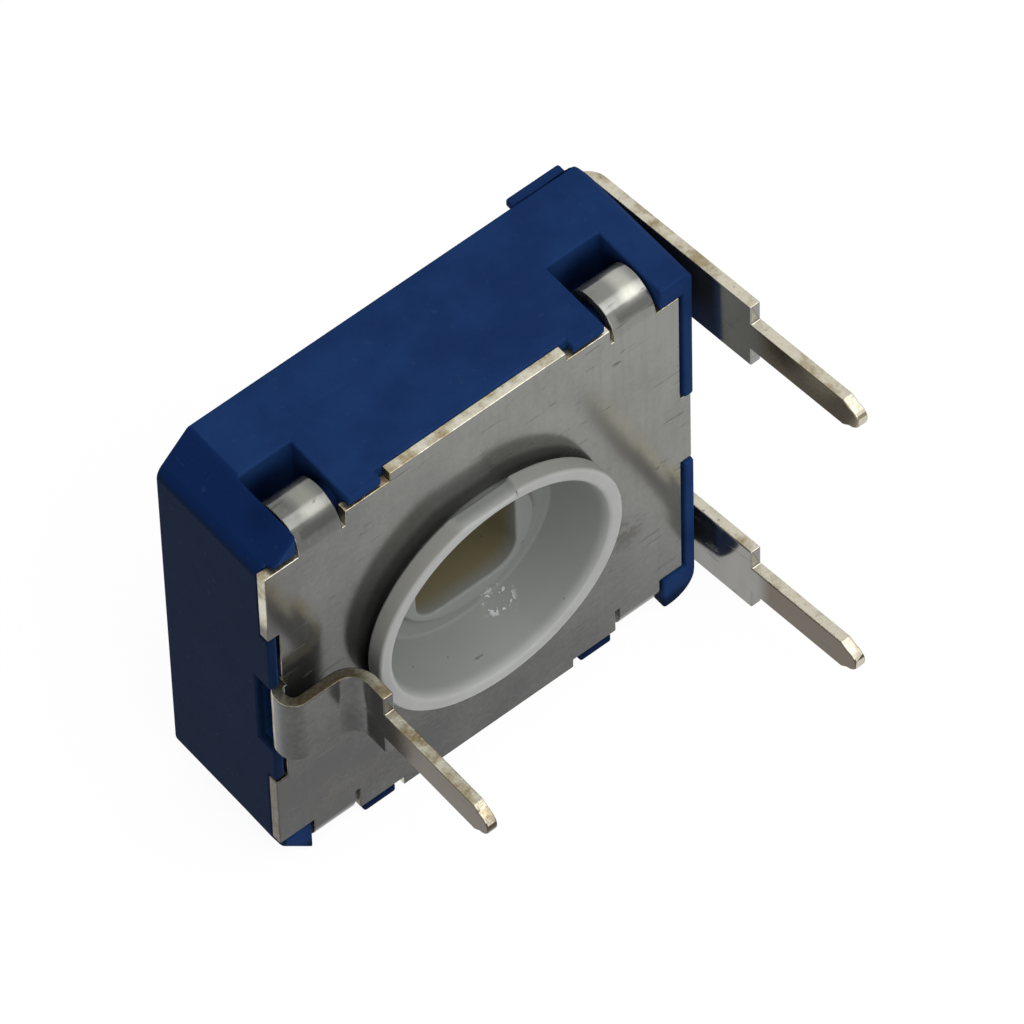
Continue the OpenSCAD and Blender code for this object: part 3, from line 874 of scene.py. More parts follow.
@dataclass(frozen=True)
class RotorPlastic:
    """White translucent moulding with painted shade: darker dish and outer wall, olive socket darker with depth."""

    name: str = "white_moulding"
    pale: Colour = (0.420, 0.427, 0.424)
    warm: Colour = (0.385, 0.385, 0.366)
    # Painted shade colours: inner for the dish, outer for the rim's outer wall, olive for the socket.
    inner: Colour = (0.238, 0.246, 0.236)
    outer: Colour = (0.300, 0.298, 0.282)
    olive: Colour = (0.205, 0.178, 0.092)
    dirt: Colour = (0.055, 0.050, 0.040)
    # Colour of the painted glints.
    gleam: Colour = (0.80, 0.82, 0.84)
    mid_z: float = 6.5
    dish_y: Point = (-2.82, -2.50)
    rim_r: Point = (3.58, 3.66)
    socket_r: Point = (2.15, 2.25)
    socket_y: Point = (-1.48, -0.95)
    floor_y: Point = (0.75, 0.85)
    glint_at: Place = (0.85, -1.55, 3.88)
    shine: float = 0.22
    depth: float = 0.35

    def material(self) -> Material:
        """Builds the material."""
        n = Nodes.named(self.name)
        cloud = n.noise(0.7, 3.0, 0.55)
        fine = n.noise(13.0, 3.0, 0.6)
        colour = n.mix(cloud.ramp(0.38, 0.66) * 0.55 + fine * 0.15, self.pale, self.warm)
        y = n.along(Axis.Y)
        spoke = n.stretched((1, 0, 1), shift=(0, 0, -self.mid_z))
        reach = n.add("ShaderNodeVectorMath", {"operation": "LENGTH"}, {0: spoke}, "Value")
        # Painted shade: the dish is darker than the rim's lip.
        colour = n.mix(y.ramp(*self.dish_y), colour, self.inner)
        # Painted shade: the rim's outer wall is darker than its lip.
        colour = n.mix(reach.ramp(*self.rim_r), colour, self.outer)
        # Painted shade in the socket: olive, and darker with depth.
        inside = reach.ramp(*self.socket_r, 1.0, 0.0) * y.ramp(*self.floor_y, 1.0, 0.0)
        colour = n.mix(y.ramp(*self.socket_y) * inside * 0.9, colour, self.olive)
        fleck = n.noise(3.6, 1.0, 0.3).ramp(0.775, 0.79)
        colour = n.mix(fleck * 0.5, colour, self.dirt)
        wave = n.bump(n.noise(0.6, 2.0), 0.04)
        skin = n.bump(fine, 0.004, wave)
        # Painted highlight: white glints in the dish, where the surface is also smoother and pitted.
        glint = n.near(self.glint_at, 0.15, 0.4) * n.noise(5.0, 3.0, 0.7).ramp(0.53, 0.58)
        colour = n.mix(glint * 0.8, colour, self.gleam)
        pitted = n.bump(glint, 0.02, skin)
        rough = 0.36 + cloud * 0.12 - glint * 0.28
        fixed = {
            "IOR": 1.5,
            "Specular IOR Level": self.shine,
            "Subsurface Weight": self.depth,
            "Subsurface Radius": (1.0, 0.95, 0.85),
            "Subsurface Scale": 0.0004,
        }
        return n.finish({"Base Color": colour, "Roughness": rough, "Normal": pitted}, fixed)


@dataclass(frozen=True)
class PlainFinish:
    """A hidden or small piece's finish: two shades in soft spots, with a fine bump."""

    name: str
    shades: tuple[Colour, Colour]
    per_mm: float
    rough: float
    metal: float
    weave: Place = (1.0, 1.0, 1.0)

    def material(self) -> Material:
        """Builds the material."""
        n = Nodes.named(self.name)
        spots = n.noise(self.per_mm, 3.0, 0.6, n.stretched(self.weave))
        fine = n.noise(self.per_mm * 6, 3.0, 0.6)
        colour = n.mix(spots.ramp(0.35, 0.65) * 0.8 + fine * 0.2, *self.shades)
        varying = {"Base Color": colour, "Roughness": self.rough + fine * 0.15, "Normal": n.bump(fine, 0.004)}
        return n.finish(varying, {"Metallic": self.metal})


# ---------------------------------------------------------------------------------------------- sizes


@dataclass(frozen=True)
class Layout:
    """The sizes that several pieces share, as in the part's source, in millimetres."""

    body_w: float = 12.6
    body_h: float = 13.0
    body_d: float = 3.7
    back_t: float = 0.9
    plate_t: float = 0.3
    sheet_gap: float = 0.04
    seat_gap: float = 0.02
    edge_gap: float = 0.06
    hook_r: float = 0.8
    tab_x: float = 4.65
    tab_w: float = 1.25
    term_t: float = 0.3
    term_w: float = 2.3
    pin_pitch: float = 10.0
    rivet_at: float = 4.5
    rivet_angle: float = 40.0
    rivet_r: float = 0.4
    head_r: float = 0.62
    head_t: float = 0.2
    eye_wall: float = 0.25
    eye_neck: float = 0.2
    board_t: float = 0.8
    film_t: float = 0.05
    bend_r: float = 0.3
    journal_r: float = 2.0
    hub_r: float = 2.3
    neck_r: float = 3.22
    pin_w: float = 1.0
    tip_len: float = 0.5
    low_cut: float = 1.15
    lug_t: float = 0.28
    side_tongue: float = 2.5
    tongue_shift: Point = (0.2, 0.3)
    strip_w: float = 2.25
    strip_drop: float = 0.2
    gap_above: float = 2.2
    gap_below: float = 1.45

    @property
    def half_w(self) -> float:
        """Half the housing's width."""
        return self.body_w / 2

    @property
    def mid_z(self) -> float:
        """Height of the rotor's axis, half the housing's height."""
        return self.body_h / 2

    @property
    def rim_y(self) -> float:
        """Where the housing's rim carries the plate."""
        return -self.body_d / 2

    @property
    def back_y(self) -> float:
        """The housing's outer back."""
        return self.body_d / 2

    @property
    def floor_y(self) -> float:
        """The inner face of the back wall."""
        return self.back_y - self.back_t

    @property
    def film_y(self) -> float:
        """The front of the printed films on the track board."""
        return self.floor_y - self.board_t - self.film_t

    @property
    def face_y(self) -> float:
        """The cover plate's front."""
        return self.rim_y - self.plate_t

    @property
    def sheet_y(self) -> float:
        """The middle of the cover plate's thickness."""
        return (self.face_y + self.rim_y) / 2

    @property
    def root_y(self) -> float:
        """The inner face of the end terminals' roots."""
        return self.back_y - self.term_t

    @property
    def hook_z(self) -> float:
        """Height of the tabs' bending line over the rotor's axis."""
        return self.mid_z - self.hook_r - self.sheet_gap

    @property
    def tab_in(self) -> float:
        """Inner side of a tab."""
        return self.tab_x - self.tab_w / 2

    @property
    def tab_out(self) -> float:
        """Outer side of a tab."""
        return self.tab_x + self.tab_w / 2

    @property
    def strip(self) -> Point:
        """The lower and upper side of the wiper strip, over the rotor's axis."""
        return -self.strip_w / 2 - self.strip_drop, self.strip_w / 2 - self.strip_drop

    @property
    def tongue(self) -> Point:
        """The lower and upper side of the plate's tongue between the right lugs, over the rotor's axis."""
        low, high = self.tongue_shift
        return -self.side_tongue / 2 + low, self.side_tongue / 2 + high

    @property
    def term_z(self) -> float:
        """Height of an end pin over the rotor's axis."""
        return self.pin_pitch / 2

    @property
    def rivet(self) -> Point:
        """A rivet's place from the rotor's axis."""
        turn = math.radians(self.rivet_angle)
        return (self.rivet_at * math.cos(turn), self.rivet_at * math.sin(turn))

    @property
    def eye_r(self) -> float:
        """Radius of a terminal's eye around its rivet."""
        return self.head_r + self.eye_wall

    def pin_z(self, side: Side) -> float:
        """Height of the middle of one end pin."""
        return self.mid_z + side.value * self.term_z

    def rivet_spot(self, side: Side) -> Point:
        """One rivet's place in X and Z."""
        return self.rivet[0], self.mid_z + side.value * self.rivet[1]


def eye_outline(lay: Layout, grow: float, reach: float, side: Side) -> list[Point]:
    """Draws a terminal's root on the back: broad at the side and narrowing to the rivet's eye.

    Args:
        lay: The shared sizes.
        grow: How much wider the drawing is all round.
        reach: How far it runs to the side.
        side: Which terminal it is.

    Returns:
        The outline in X and Z.
    """
    rx, rz = lay.rivet
    root_x = rx + lay.eye_r + lay.eye_neck
    half = lay.term_w / 2 + grow
    mid = Vector((root_x - rx, lay.term_z - rz))
    radius = lay.eye_r + grow
    normal = Vector((-mid.y, mid.x)).normalized() * radius
    first, last = math.atan2(normal.y, normal.x), math.atan2(-normal.y, -normal.x) + 2 * math.pi
    steps = 20
    arc = [first + (last - first) * k / steps for k in range(steps + 1)]
    points = [(reach, lay.term_z - half), (reach, lay.term_z + half), (root_x, lay.term_z + half)]
    points += [(rx + radius * math.cos(a), rz + radius * math.sin(a)) for a in arc]
    points += [(root_x, lay.term_z - half)]
    return [(x, lay.mid_z + side.value * z) for x, z in points]


# ---------------------------------------------------------------------------------------------- pieces


@dataclass
class Housing:
    """The moulded housing with its posts, lugs, pockets, ribs and seats."""

    lay: Layout
    chamfer: float = 0.975
    chamfer_soft: float = 0.2
    corner_r: float = 0.8
    small_flat: float = 0.2
    back_edge_r: float = 0.6
    left_out: float = 0.28
    right_out: float = 0.38
    lug_w: float = 0.95
    pocket_deep: float = 1.65
    pocket_len: float = 1.85
    pocket_wider: Point = (0.25, 0.05)
    rib_out: float = 0.3
    rib_len: float = 1.6
    rib_mid: float = 5.13
    rib_top_gap: float = 0.06
    cavity_r: float = 5.3
    stop_half: float = 28.0
    post_gap: float = 0.1
    notch_gap: float = 0.15
    notch_deep: float = 0.3
    rib_in: float = 0.4
    notch_in: float = 0.6
    journal_gap: float = 0.05
    stop_gap: float = 0.15
    stop_y: float = -0.70
    lap: float = 0.1
    soft: float = 0.07

    @property
    def pocket_x(self) -> Point:
        """The inner and outer sides of a pocket."""
        inner, outer = self.pocket_wider
        return self.lay.tab_in - inner, self.lay.tab_out + outer

    def tray(self) -> Piece:
        """The body: a block with its corners cut and its back edge rounded, with its rim cut back beside the lugs."""
        lay = self.lay
        w, h = lay.half_w, lay.body_h
        body = Bench.block((-w, lay.rim_y - self.right_out, 0), (w, lay.back_y, h))
        corners = [
            (Axis.Y, (-w, h), self.chamfer, 1), (Axis.Y, (-w, 0), self.chamfer, 1),
            (Axis.Y, (-w, h - self.chamfer), self.chamfer_soft, 4), (Axis.Y, (-w, self.chamfer), self.chamfer_soft, 4),
            (Axis.Y, (w, 0), self.corner_r, 8), (Axis.Y, (w, h), self.small_flat, 1),
            (Axis.Z, (w, lay.back_y), self.back_edge_r, 6),
        ]
        for corner in corners:
            Bench.round_corner(body, *corner)
        waste = Bench.block((-w - LONG, lay.rim_y - LONG, -LONG), (w + LONG, lay.rim_y, h + LONG))
        Bench.cut(waste, *self.kept_ahead())
        Bench.cut(body, Bench.tidy_faces(waste))
        lower = Bench.block((-w - LONG, lay.rim_y - LONG, -LONG), (lay.tab_in, lay.rim_y - self.left_out, h + LONG))
        return Bench.tidy_faces(Bench.cut(body, lower))

    def kept_ahead(self) -> list[Piece]:
        """Blocks around what stands ahead of the rim: corner posts, rails and lugs."""
        lay = self.lay
        w, h, mid, gap, lug = lay.half_w, lay.body_h, lay.mid_z, lay.edge_gap, lay.lug_t
        pocket_in, post_x = self.pocket_x
        post_z = mid + lay.hook_z - 0.05 + gap + self.post_gap
        low_z = lay.low_cut - gap
        base, top = (mid + z for z in lay.strip)
        right_base, right_top = mid + lay.tongue[0] - gap, mid + lay.tongue[1] + gap
        low, far = -2 * LONG, 2 * LONG
        kept = [
            (low - w, -post_x, post_z, h + far), (low - w, -post_x, low, low_z),
            (low - w, -w + lug, top + self.notch_gap, top + lay.gap_above - gap),
            (low - w, -w + lug, base - lay.gap_below + gap, base - self.notch_gap),
            (post_x, w + far, post_z, h + far), (post_x, w + far, low, low_z),
            (w - lug, w + far, right_top, h + far + 0.1), (w - lug, w + far, low - 0.1, right_base),
        ]
        for way in (-1, 1):
            x0, x1 = sorted((way * pocket_in, way * (pocket_in - self.lug_w)))
            kept += [(x0, x1, h - lug, h + far), (x0, x1, low, lug)]
        return [Bench.block((x0, lay.rim_y - far, z0), (x1, lay.rim_y + LONG, z1)) for x0, x1, z0, z1 in kept]

    def nose(self, side: Side, x0: float, x1: float) -> Piece:
        """The nose in a pocket that a tab hooks over.

        Args:
            side: Above or below.
            x0: Where it starts.
            x1: Where it ends.

        Returns:
            The nose.
        """
        lay = self.lay
        radius = lay.hook_r - lay.plate_t - lay.sheet_gap
        y, z = lay.face_y + lay.hook_r, lay.mid_z + side.value * lay.hook_z
        foot = lay.mid_z + side.value * (lay.mid_z - self.pocket_deep - SHORT)
        rod = Bench.rod((y, z), radius, x0, x1, 48, Axis.X)
        block = Bench.block((x0, y - radius, min(z, foot)), (x1, y + radius, max(z, foot)))
        return Bench.tidy_faces(Bench.add(rod, block))

    def back_cuts(self) -> list[Piece]:
        """The bore, the rivets' holes and the terminals' seats in the back wall."""
        lay = self.lay
        front, back, side_x = lay.floor_y - SHORT, lay.back_y + OVER, lay.half_w + OVER
        cuts = [Bench.rod((0, lay.mid_z), lay.journal_r + self.journal_gap, front, back)]
        seat_y = lay.root_y - lay.seat_gap
        bend_x = lay.half_w - lay.bend_r
        wrap = [
            (bend_x, back), (bend_x, seat_y), (lay.half_w, seat_y - lay.bend_r),
            (side_x, seat_y - lay.bend_r), (side_x, back),
        ]
        half = lay.term_w / 2 + lay.seat_gap
        for side in Side:
            z = lay.pin_z(side)
            cuts += [
                Bench.rod(lay.rivet_spot(side), lay.rivet_r + lay.seat_gap, front, back, 32),
                Bench.sheet(eye_outline(lay, lay.seat_gap, side_x, side), Axis.Y, seat_y, back),
                Bench.sheet(wrap, Axis.Z, z - half, z + half),
            ]
        return cuts

    def build(self, plastic: Material) -> Piece:
        """Models the housing.

        Args:
            plastic: Its material.

        Returns:
            The piece.
        """
        lay = self.lay
        h, mid, rim_y = lay.body_h, lay.mid_z, lay.rim_y
        body = self.tray()
        rib_z = lay.term_z + lay.term_w / 2 + 2 * lay.seat_gap
        x1 = lay.half_w - self.rib_in
        for side in Side:
            z0, z1 = sorted((mid + side.value * rib_z, mid + side.value * (mid - self.rib_top_gap)))
            rib = Bench.block((x1 - self.rib_len, lay.back_y - SHORT, z0), (x1, lay.back_y + self.rib_out, z1))
            Bench.add(body, rib)
        Bench.cut(body, Bench.rod((0, mid), self.cavity_r, rim_y - LONG, lay.floor_y))
        spans = {Side.UPPER: (h - self.pocket_deep, h + LONG), Side.LOWER: (-LONG, self.pocket_deep)}
        for side, (z0, z1) in spans.items():
            for way in (-1, 1):
                x0, x1 = sorted(way * x for x in self.pocket_x)
                Bench.cut(body, Bench.block((x0, rim_y - LONG, z0), (x1, rim_y + self.pocket_len, z1)))
                Bench.add(body, self.nose(side, x0 - self.lap, x1 + self.lap))
        base, top = lay.strip
        low = (-lay.half_w - LONG, rim_y - LONG, mid + base - self.notch_gap)
        high = (-lay.half_w + self.notch_in, rim_y + self.notch_deep, mid + top + self.notch_gap)
        Bench.cut(body, Bench.block(low, high))
        Bench.cut(body, *self.back_cuts())
        inner, outer, end_y = lay.hub_r + self.stop_gap, self.cavity_r + self.lap, lay.floor_y + self.lap
        stop = [(inner, self.stop_y), (outer, self.stop_y), (outer, end_y), (inner, end_y)]
        Bench.add(body, Bench.lathe(stop, (0, mid), 20, -self.stop_half, 2 * self.stop_half))
        rivet_z = lay.rivet[1]
        halved = [(Axis.Z, mid + dz) for dz in (-rivet_z, 0.0, rivet_z)] + [(Axis.X, self.rib_mid)]
        Bench.tidy_faces(body, halved, near=0.012)
        Bench.soften(body, self.soft, 3)
        return Bench.finish(body, "moulded_housing", "housing", "base", "housing_plastic", [plastic])


@dataclass
class CoverPlate:
    """The sheet cover: its flat, the four tabs that hook over the housing, and the bent wiper pin."""

    lay: Layout
    tongue_w: float = 5.2
    hook_turn: float = 162.0
    strip_out: float = 0.68
    pin_in: float = 2.06
    shoulder: float = 1.75
    reach: float = 5.5
    root_bend: float = 0.12
    root_lap: float = 1.0
    relief: float = 0.3
    lift_bend: float = 0.2
    drop_bend: float = 0.5
    slit: float = 0.12
    bore_gap: float = 0.05
    soft: float = 0.035

    def flat(self) -> Piece:
        """The plate's flat with its notches and the hole for the rotor."""
        lay = self.lay
        w, mid, tab = lay.half_w, lay.mid_z, lay.hook_z
        side_x = w - lay.lug_t - lay.edge_gap
        notch_x = -w + lay.lug_t + lay.edge_gap
        notch_z = mid - lay.lug_t - lay.edge_gap
        tongue_x, tongue_z = self.tongue_w / 2, mid - lay.sheet_gap
        slit_x = lay.tab_in - self.slit
        base, top = lay.strip

        def part(x0: float, z0: float, x1: float, z1: float, over: float = 0.0) -> Piece:
            """A rectangle of the sheet, or a cutter that is thicker by over on both sides."""
            return Bench.block((x0, lay.face_y - over, mid + z0), (x1, lay.rim_y + over, mid + z1))

        plate = part(-w, lay.low_cut - mid, side_x, tab - 0.05)
        Bench.add(
            plate,
            part(-slit_x, -notch_z, slit_x, notch_z),
            part(-tongue_x, -tongue_z, tongue_x, tongue_z),
            part(lay.tab_in, -tab, lay.tab_out, tab),
            part(-lay.tab_out, -tab, -lay.tab_in, tab),
            part(side_x - 0.1, lay.tongue[0], w - 0.02, lay.tongue[1]),
        )
        root_x = -w + self.root_bend + lay.plate_t
        Bench.cut(
            plate,
            part(-w - LONG, base - lay.gap_below, notch_x, base, SHORT),
            part(-w - LONG, top, notch_x, top + lay.gap_above, SHORT),
            part(-w - LONG, base - self.relief, root_x + 0.05, top + self.relief, SHORT),
            Bench.rod((0, mid), lay.neck_r + self.bore_gap, lay.face_y - OVER, lay.rim_y + OVER, 128),
        )
        Bench.add(plate, part(root_x, base, -w + self.root_lap, top))
        return Bench.tidy_faces(plate)

    def tab(self, plate: Piece, side: Side, way: int) -> None:
        """Turns a tab over the housing's nose.

        Args:
            plate: The plate.
            side: Above or below.
            way: 1 on the right and -1 on the left.
        """
        lay = self.lay
        up = side.value
        start = Vector((way * lay.tab_x, lay.sheet_y, lay.mid_z + up * lay.hook_z))
        strip = Strip(start, Vector((0, 0, up)), Vector((1, 0, 0)), lay.plate_t)
        strip.run(plate, [Bend(lay.hook_r - lay.plate_t, -up * self.hook_turn, 22)])

    def wiper_strip(self, plate: Piece) -> None:
        """Runs the strip out of the plate's left edge: it lifts, follows the plate and ends in the wiper pin."""
        lay = self.lay
        w, t = lay.half_w, lay.plate_t
        z = lay.mid_z - lay.strip_drop
        run_y = lay.face_y - self.strip_out
        lift_x, lift_y = -w + t + self.lift_bend, run_y + t + self.lift_bend
        pin_x = -w + self.pin_in - t / 2
        drop_x, drop_y = pin_x - self.drop_bend, run_y - self.drop_bend
        shoulder_y, tip_y = lay.face_y - self.shoulder, lay.face_y - self.reach
        strip = Strip(Vector((-w + self.root_bend + t, lay.sheet_y, z)), Vector((-1, 0, 0)), Vector((0, 0, 1)), t)
        moves: list[Move] = [
            Bend(self.root_bend, 90, 8),
            Straight(lay.face_y - self.root_bend - lift_y),
            Bend(self.lift_bend, 90, 10),
            Straight(drop_x - lift_x),
            Bend(self.drop_bend, -90, 14),
            Straight(drop_y - tip_y + SHORT),
        ]
        punch_pin(lay, strip.run(plate, moves), z, shoulder_y, tip_y)

    def build(self, sheet: Material, edge: Material) -> Piece:
        """Models the cover plate.

        Args:
            sheet: The material of its faces.
            edge: The material of its sheared edges.

        Returns:
            The piece.
        """
        lay = self.lay
        plate = self.flat()
        for side in Side:
            for way in (-1, 1):
                self.tab(plate, side, way)
        self.wiper_strip(plate)
        Bench.tidy_faces(plate, [(Axis.X, 0.0)])
        Bench.soften(plate, self.soft, 2)
        Bench.finish(plate, "tinned_cover", "cover_plate", "base", "cover_sheet", [sheet, edge])
        strip_x = (-lay.half_w + self.pin_in + 0.3) * MM
        strip_y = (lay.face_y - 0.03) * MM
        tab_x, tab_z = (lay.tab_in - 0.05) * MM, (lay.hook_z + 0.02) * MM
        for face in plate.data.polygons:
            n, c = face.normal, face.center
            if abs(c.z - lay.mid_z * MM) > tab_z and abs(c.x) > tab_x:
                cut = abs(n.x) > 0.5
            elif c.y < strip_y and c.x < strip_x:
                cut = abs(n.z) > 0.5
            else:
                cut = abs(n.y) < 0.5
            face.material_index = int(cut)
        return plate


def punch_pin(lay: Layout, blade: Piece, z: float, shoulder_y: float, tip_y: float) -> Piece:
    """Punches a pin with shoulders and a rounded tip out of a broad blade.

    Args:
        lay: The shared sizes.
        blade: The blade, which runs past the pin's tip.
        z: The height of the pin's middle.
        shoulder_y: Where its shoulders are.
        tip_y: Where its tip is.

    Returns:
        The blade with its pin.
    """
    half, nose = lay.pin_w / 2, 0.36 * lay.pin_w
    wide, past, aside = 3, tip_y - 2, 9  # the cutter is wider, longer and thicker than any blade
    arc = [math.pi * (k + 0.5) / 12 for k in range(12)]
    outline = [(shoulder_y, half), (tip_y + lay.tip_len, half)]
    outline += [(tip_y + nose - nose * math.sin(a), nose * math.cos(a)) for a in arc]
    outline += [(tip_y + lay.tip_len, -half), (shoulder_y, -half)]
    outline += [(shoulder_y, -wide), (past, -wide), (past, wide), (shoulder_y, wide)]
    return Bench.cut(blade, Bench.sheet([(y, z + dz) for y, dz in outline], Axis.X, -aside, aside))


@dataclass
class EndTerminal:
    """An end terminal: an eye and a root on the back, a bend at the edge, and a splayed leg down to its pin."""

    lay: Layout
    side: Side
    splay: float = 5.1
    shoulder: float = 1.57
    reach: float = 5.05
    soft: float = 0.04

    def build(self, sheet: Material, edge: Material) -> Piece:
        """Models the terminal.

        Args:
            sheet: The material of its faces.
            edge: The material of its sheared edges.

        Returns:
            The piece.
        """
        lay = self.lay
        z = lay.pin_z(self.side)
        corner_x = lay.half_w + lay.sheet_gap - lay.bend_r
        mid_y = (lay.root_y + lay.back_y) / 2
        slope = math.cos(math.radians(self.splay))
        tip_y = lay.face_y - self.reach
        root = Bench.sheet(eye_outline(lay, 0.0, corner_x, self.side), Axis.Y, lay.root_y, lay.back_y)
        strip = Strip(Vector((corner_x, mid_y, z)), Vector((1, 0, 0)), Vector((0, 0, 1)), lay.term_t)
        strip.run(root, [Bend(lay.bend_r, -(90 - self.splay), 10), Straight((lay.root_y - tip_y) / slope)])
        punch_pin(lay, root, z, lay.face_y - self.shoulder, tip_y)
        spot, radius = lay.rivet_spot(self.side), lay.rivet_r + lay.seat_gap
        Bench.cut(root, Bench.rod(spot, radius, lay.root_y - SHORT, lay.back_y + SHORT, 48))
        Bench.tidy_faces(root, [(Axis.X, spot[0])])
        Bench.soften(root, self.soft, 2)
        where = self.side.name.lower()
        Bench.finish(root, f"tinned_terminal_{where}", f"terminal_{where}", "base", "terminal_sheet", [sheet, edge])
        leg_x, end_y = (corner_x + 0.05) * MM, (tip_y + 0.02) * MM
        for face in root.data.polygons:
            n, c = face.normal, face.center
            cut = (abs(n.z) > 0.5 or c.y < end_y) if c.x > leg_x else abs(n.y) < 0.5
            face.material_index = int(cut)
        return root


@dataclass
class Rotor:
    """The dished rotor with its rim, collar, driver socket, hub, journal, stop lug and pegs."""

    lay: Layout
    rim_r: float = 3.65
    rim_out: float = 0.68
    rim_t: float = 0.5
    rim_land: float = 0.36
    dish_mid_r: float = 3.0
    dish_r: float = 2.65
    dish_deep: float = 1.53
    collar_r: float = 2.05
    collar_up: float = 0.2
    socket_w: float = 3.0
    socket_round: float = 0.7
    socket_deep: float = 2.1
    mark_deep: float = 0.18
    mark_slope: float = 0.16
    mark_from: float = -1.25
    mark_to: float = 0.51
    lug_r: float = 3.05
    lug_half: float = 26.5
    peg_r: float = 0.28
    wiper_t: float = 0.2
    ring_r: float = 3.2
    floor_t: float = 0.35
    hub_gap: float = 0.05
    lug_gap: float = 0.3
    lap: float = 0.1
    soft: float = 0.08

    def build(self, plastic: Material) -> Piece:
        """Models the rotor.

        Args:
            plastic: Its material.

        Returns:
            The piece.
        """
        lay = self.lay
        mid = lay.mid_z
        front = lay.face_y - self.rim_out
        dish = front + self.dish_deep
        collar_y, rim_back = dish - self.collar_up, front + self.rim_t
        ring_y, hub_y = dish + self.floor_t, lay.floor_y - self.hub_gap
        section = [
            (0, collar_y), (self.collar_r, collar_y), (self.collar_r + 0.05, dish), (self.dish_r, dish),
            (self.dish_mid_r, lay.face_y), (self.rim_r - self.rim_land, front), (self.rim_r, front),
            (self.rim_r, rim_back), (lay.neck_r, rim_back), (lay.neck_r, ring_y), (lay.hub_r, ring_y),
            (lay.hub_r, hub_y), (lay.journal_r, hub_y), (lay.journal_r, lay.back_y), (0, lay.back_y),
        ]
        body = Bench.lathe(section, (0, mid), 128)
        half = self.socket_w / 2
        socket = Bench.block((-half, dish - LONG, mid - half), (half, collar_y + self.socket_deep, mid + half))
        for x in (-half, half):
            for z in (-half, half):
                Bench.round_corner(socket, Axis.Y, (x, mid + z), self.socket_round, 8)
        Bench.cut(body, socket)
        mark_z, mark_top = mid + self.rim_r - self.mark_deep, mid + self.rim_r + 0.2
        wide = self.mark_slope * (mark_top - mark_z) / self.mark_deep
        x0, x1 = self.mark_from, self.mark_to
        mark = [(x0, mark_z), (x1, mark_z), (x1 + wide, mark_top), (x0, mark_top)]
        Bench.cut(body, Bench.sheet(mark, Axis.Y, front - OVER, rim_back + 0.01))
        inner, end_y = lay.hub_r - self.lap, lay.film_y - self.lug_gap
        stop_y = ring_y + self.wiper_t + self.hub_gap
        lug = [(inner, stop_y), (self.lug_r, stop_y), (self.lug_r, end_y), (inner, end_y)]
        Bench.add(body, Bench.lathe(lug, (0, mid), 16, 180 - self.lug_half, 2 * self.lug_half))
        for way in (-1, 1):
            z = mid + way * (lay.hub_r + self.ring_r) / 2
            Bench.add(body, Bench.rod((0, z), self.peg_r, ring_y - self.lap, ring_y + self.wiper_t, 24))
        Bench.outward(body, 40 * WELD)
        Bench.soften(body, self.soft, 3, 24)
        return Bench.finish(body, "dished_rotor", "rotor", "rotor", "rotor_plastic", [plastic])


@dataclass
class Rivet:
    """A hollow rivet with a rolled head at each end."""

    lay: Layout
    side: Side

    def build(self, metal: Material) -> Piece:
        """Models the rivet.

        Args:
            metal: Its material.

        Returns:
            The piece.
        """
        lay = self.lay
        bore, head = lay.rivet_r / 2, lay.head_r
        front, back = lay.film_y - lay.head_t, lay.back_y + lay.head_t
        rolled = [
            (bore, 0.14), (bore + 0.04, 0.05), (bore + 0.12, 0.0), (head - 0.1, 0.0), (head - 0.02, 0.05), (head, 0.12),
        ]
        section = [(radius, front + deep) for radius, deep in rolled]
        section += [(head, lay.film_y), (lay.rivet_r, lay.film_y), (lay.rivet_r, lay.back_y), (head, lay.back_y)]
        section += [(radius, back - deep) for radius, deep in reversed(rolled)]
        body = Bench.lathe(section, lay.rivet_spot(self.side), 40)
        where = self.side.name.lower()
        return Bench.finish(body, f"hollow_rivet_{where}", f"rivet_{where}", "base", "rivet_metal", [metal])


BRONZE = PlainFinish("spring_bronze", ((0.50, 0.33, 0.14), (0.62, 0.44, 0.20)), 1.2, 0.24, 1.0, (1.0, 1.0, 6.0))
BOARD = PlainFinish("resin_board", ((0.21, 0.10, 0.045), (0.33, 0.18, 0.08)), 1.5, 0.55, 0.0, (6.0, 1.0, 1.0))
CARBON = PlainFinish("carbon_print", ((0.012, 0.012, 0.013), (0.03, 0.03, 0.03)), 3.0, 0.60, 0.0)
SILVER = PlainFinish("silver_print", ((0.46, 0.46, 0.45), (0.58, 0.57, 0.55)), 3.0, 0.40, 1.0)
BRASS = PlainFinish("tinned_brass", ((0.46, 0.40, 0.24), (0.60, 0.54, 0.36)), 2.0, 0.26, 1.0)


@dataclass
class Internals:
    """The pieces inside, whose solids are right as they are and only need their finish."""

    finishes: dict[PlainFinish, Sequence[str]] = field(
        default_factory=lambda: {
            BRONZE: ["wiper"],
            BOARD: ["track_board"],
            CARBON: ["carbon_track"],
            SILVER: ["end_pad_upper", "end_pad_lower"],
        }
    )

    def dress(self) -> None:
        """Gives each solid its finish; the two pads share one."""
        for finish, nodes in self.finishes.items():
            material = finish.material()
            for name in nodes:
                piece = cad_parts[name]
                for k in range(len(piece.material_slots)):
                    piece.material_slots[k].material = material
                if not piece.material_slots:
                    piece.data.materials.append(material)
            log.info("%s dressed as %s", ", ".join(nodes), finish.name)


# ---------------------------------------------------------------------------------------------- studio


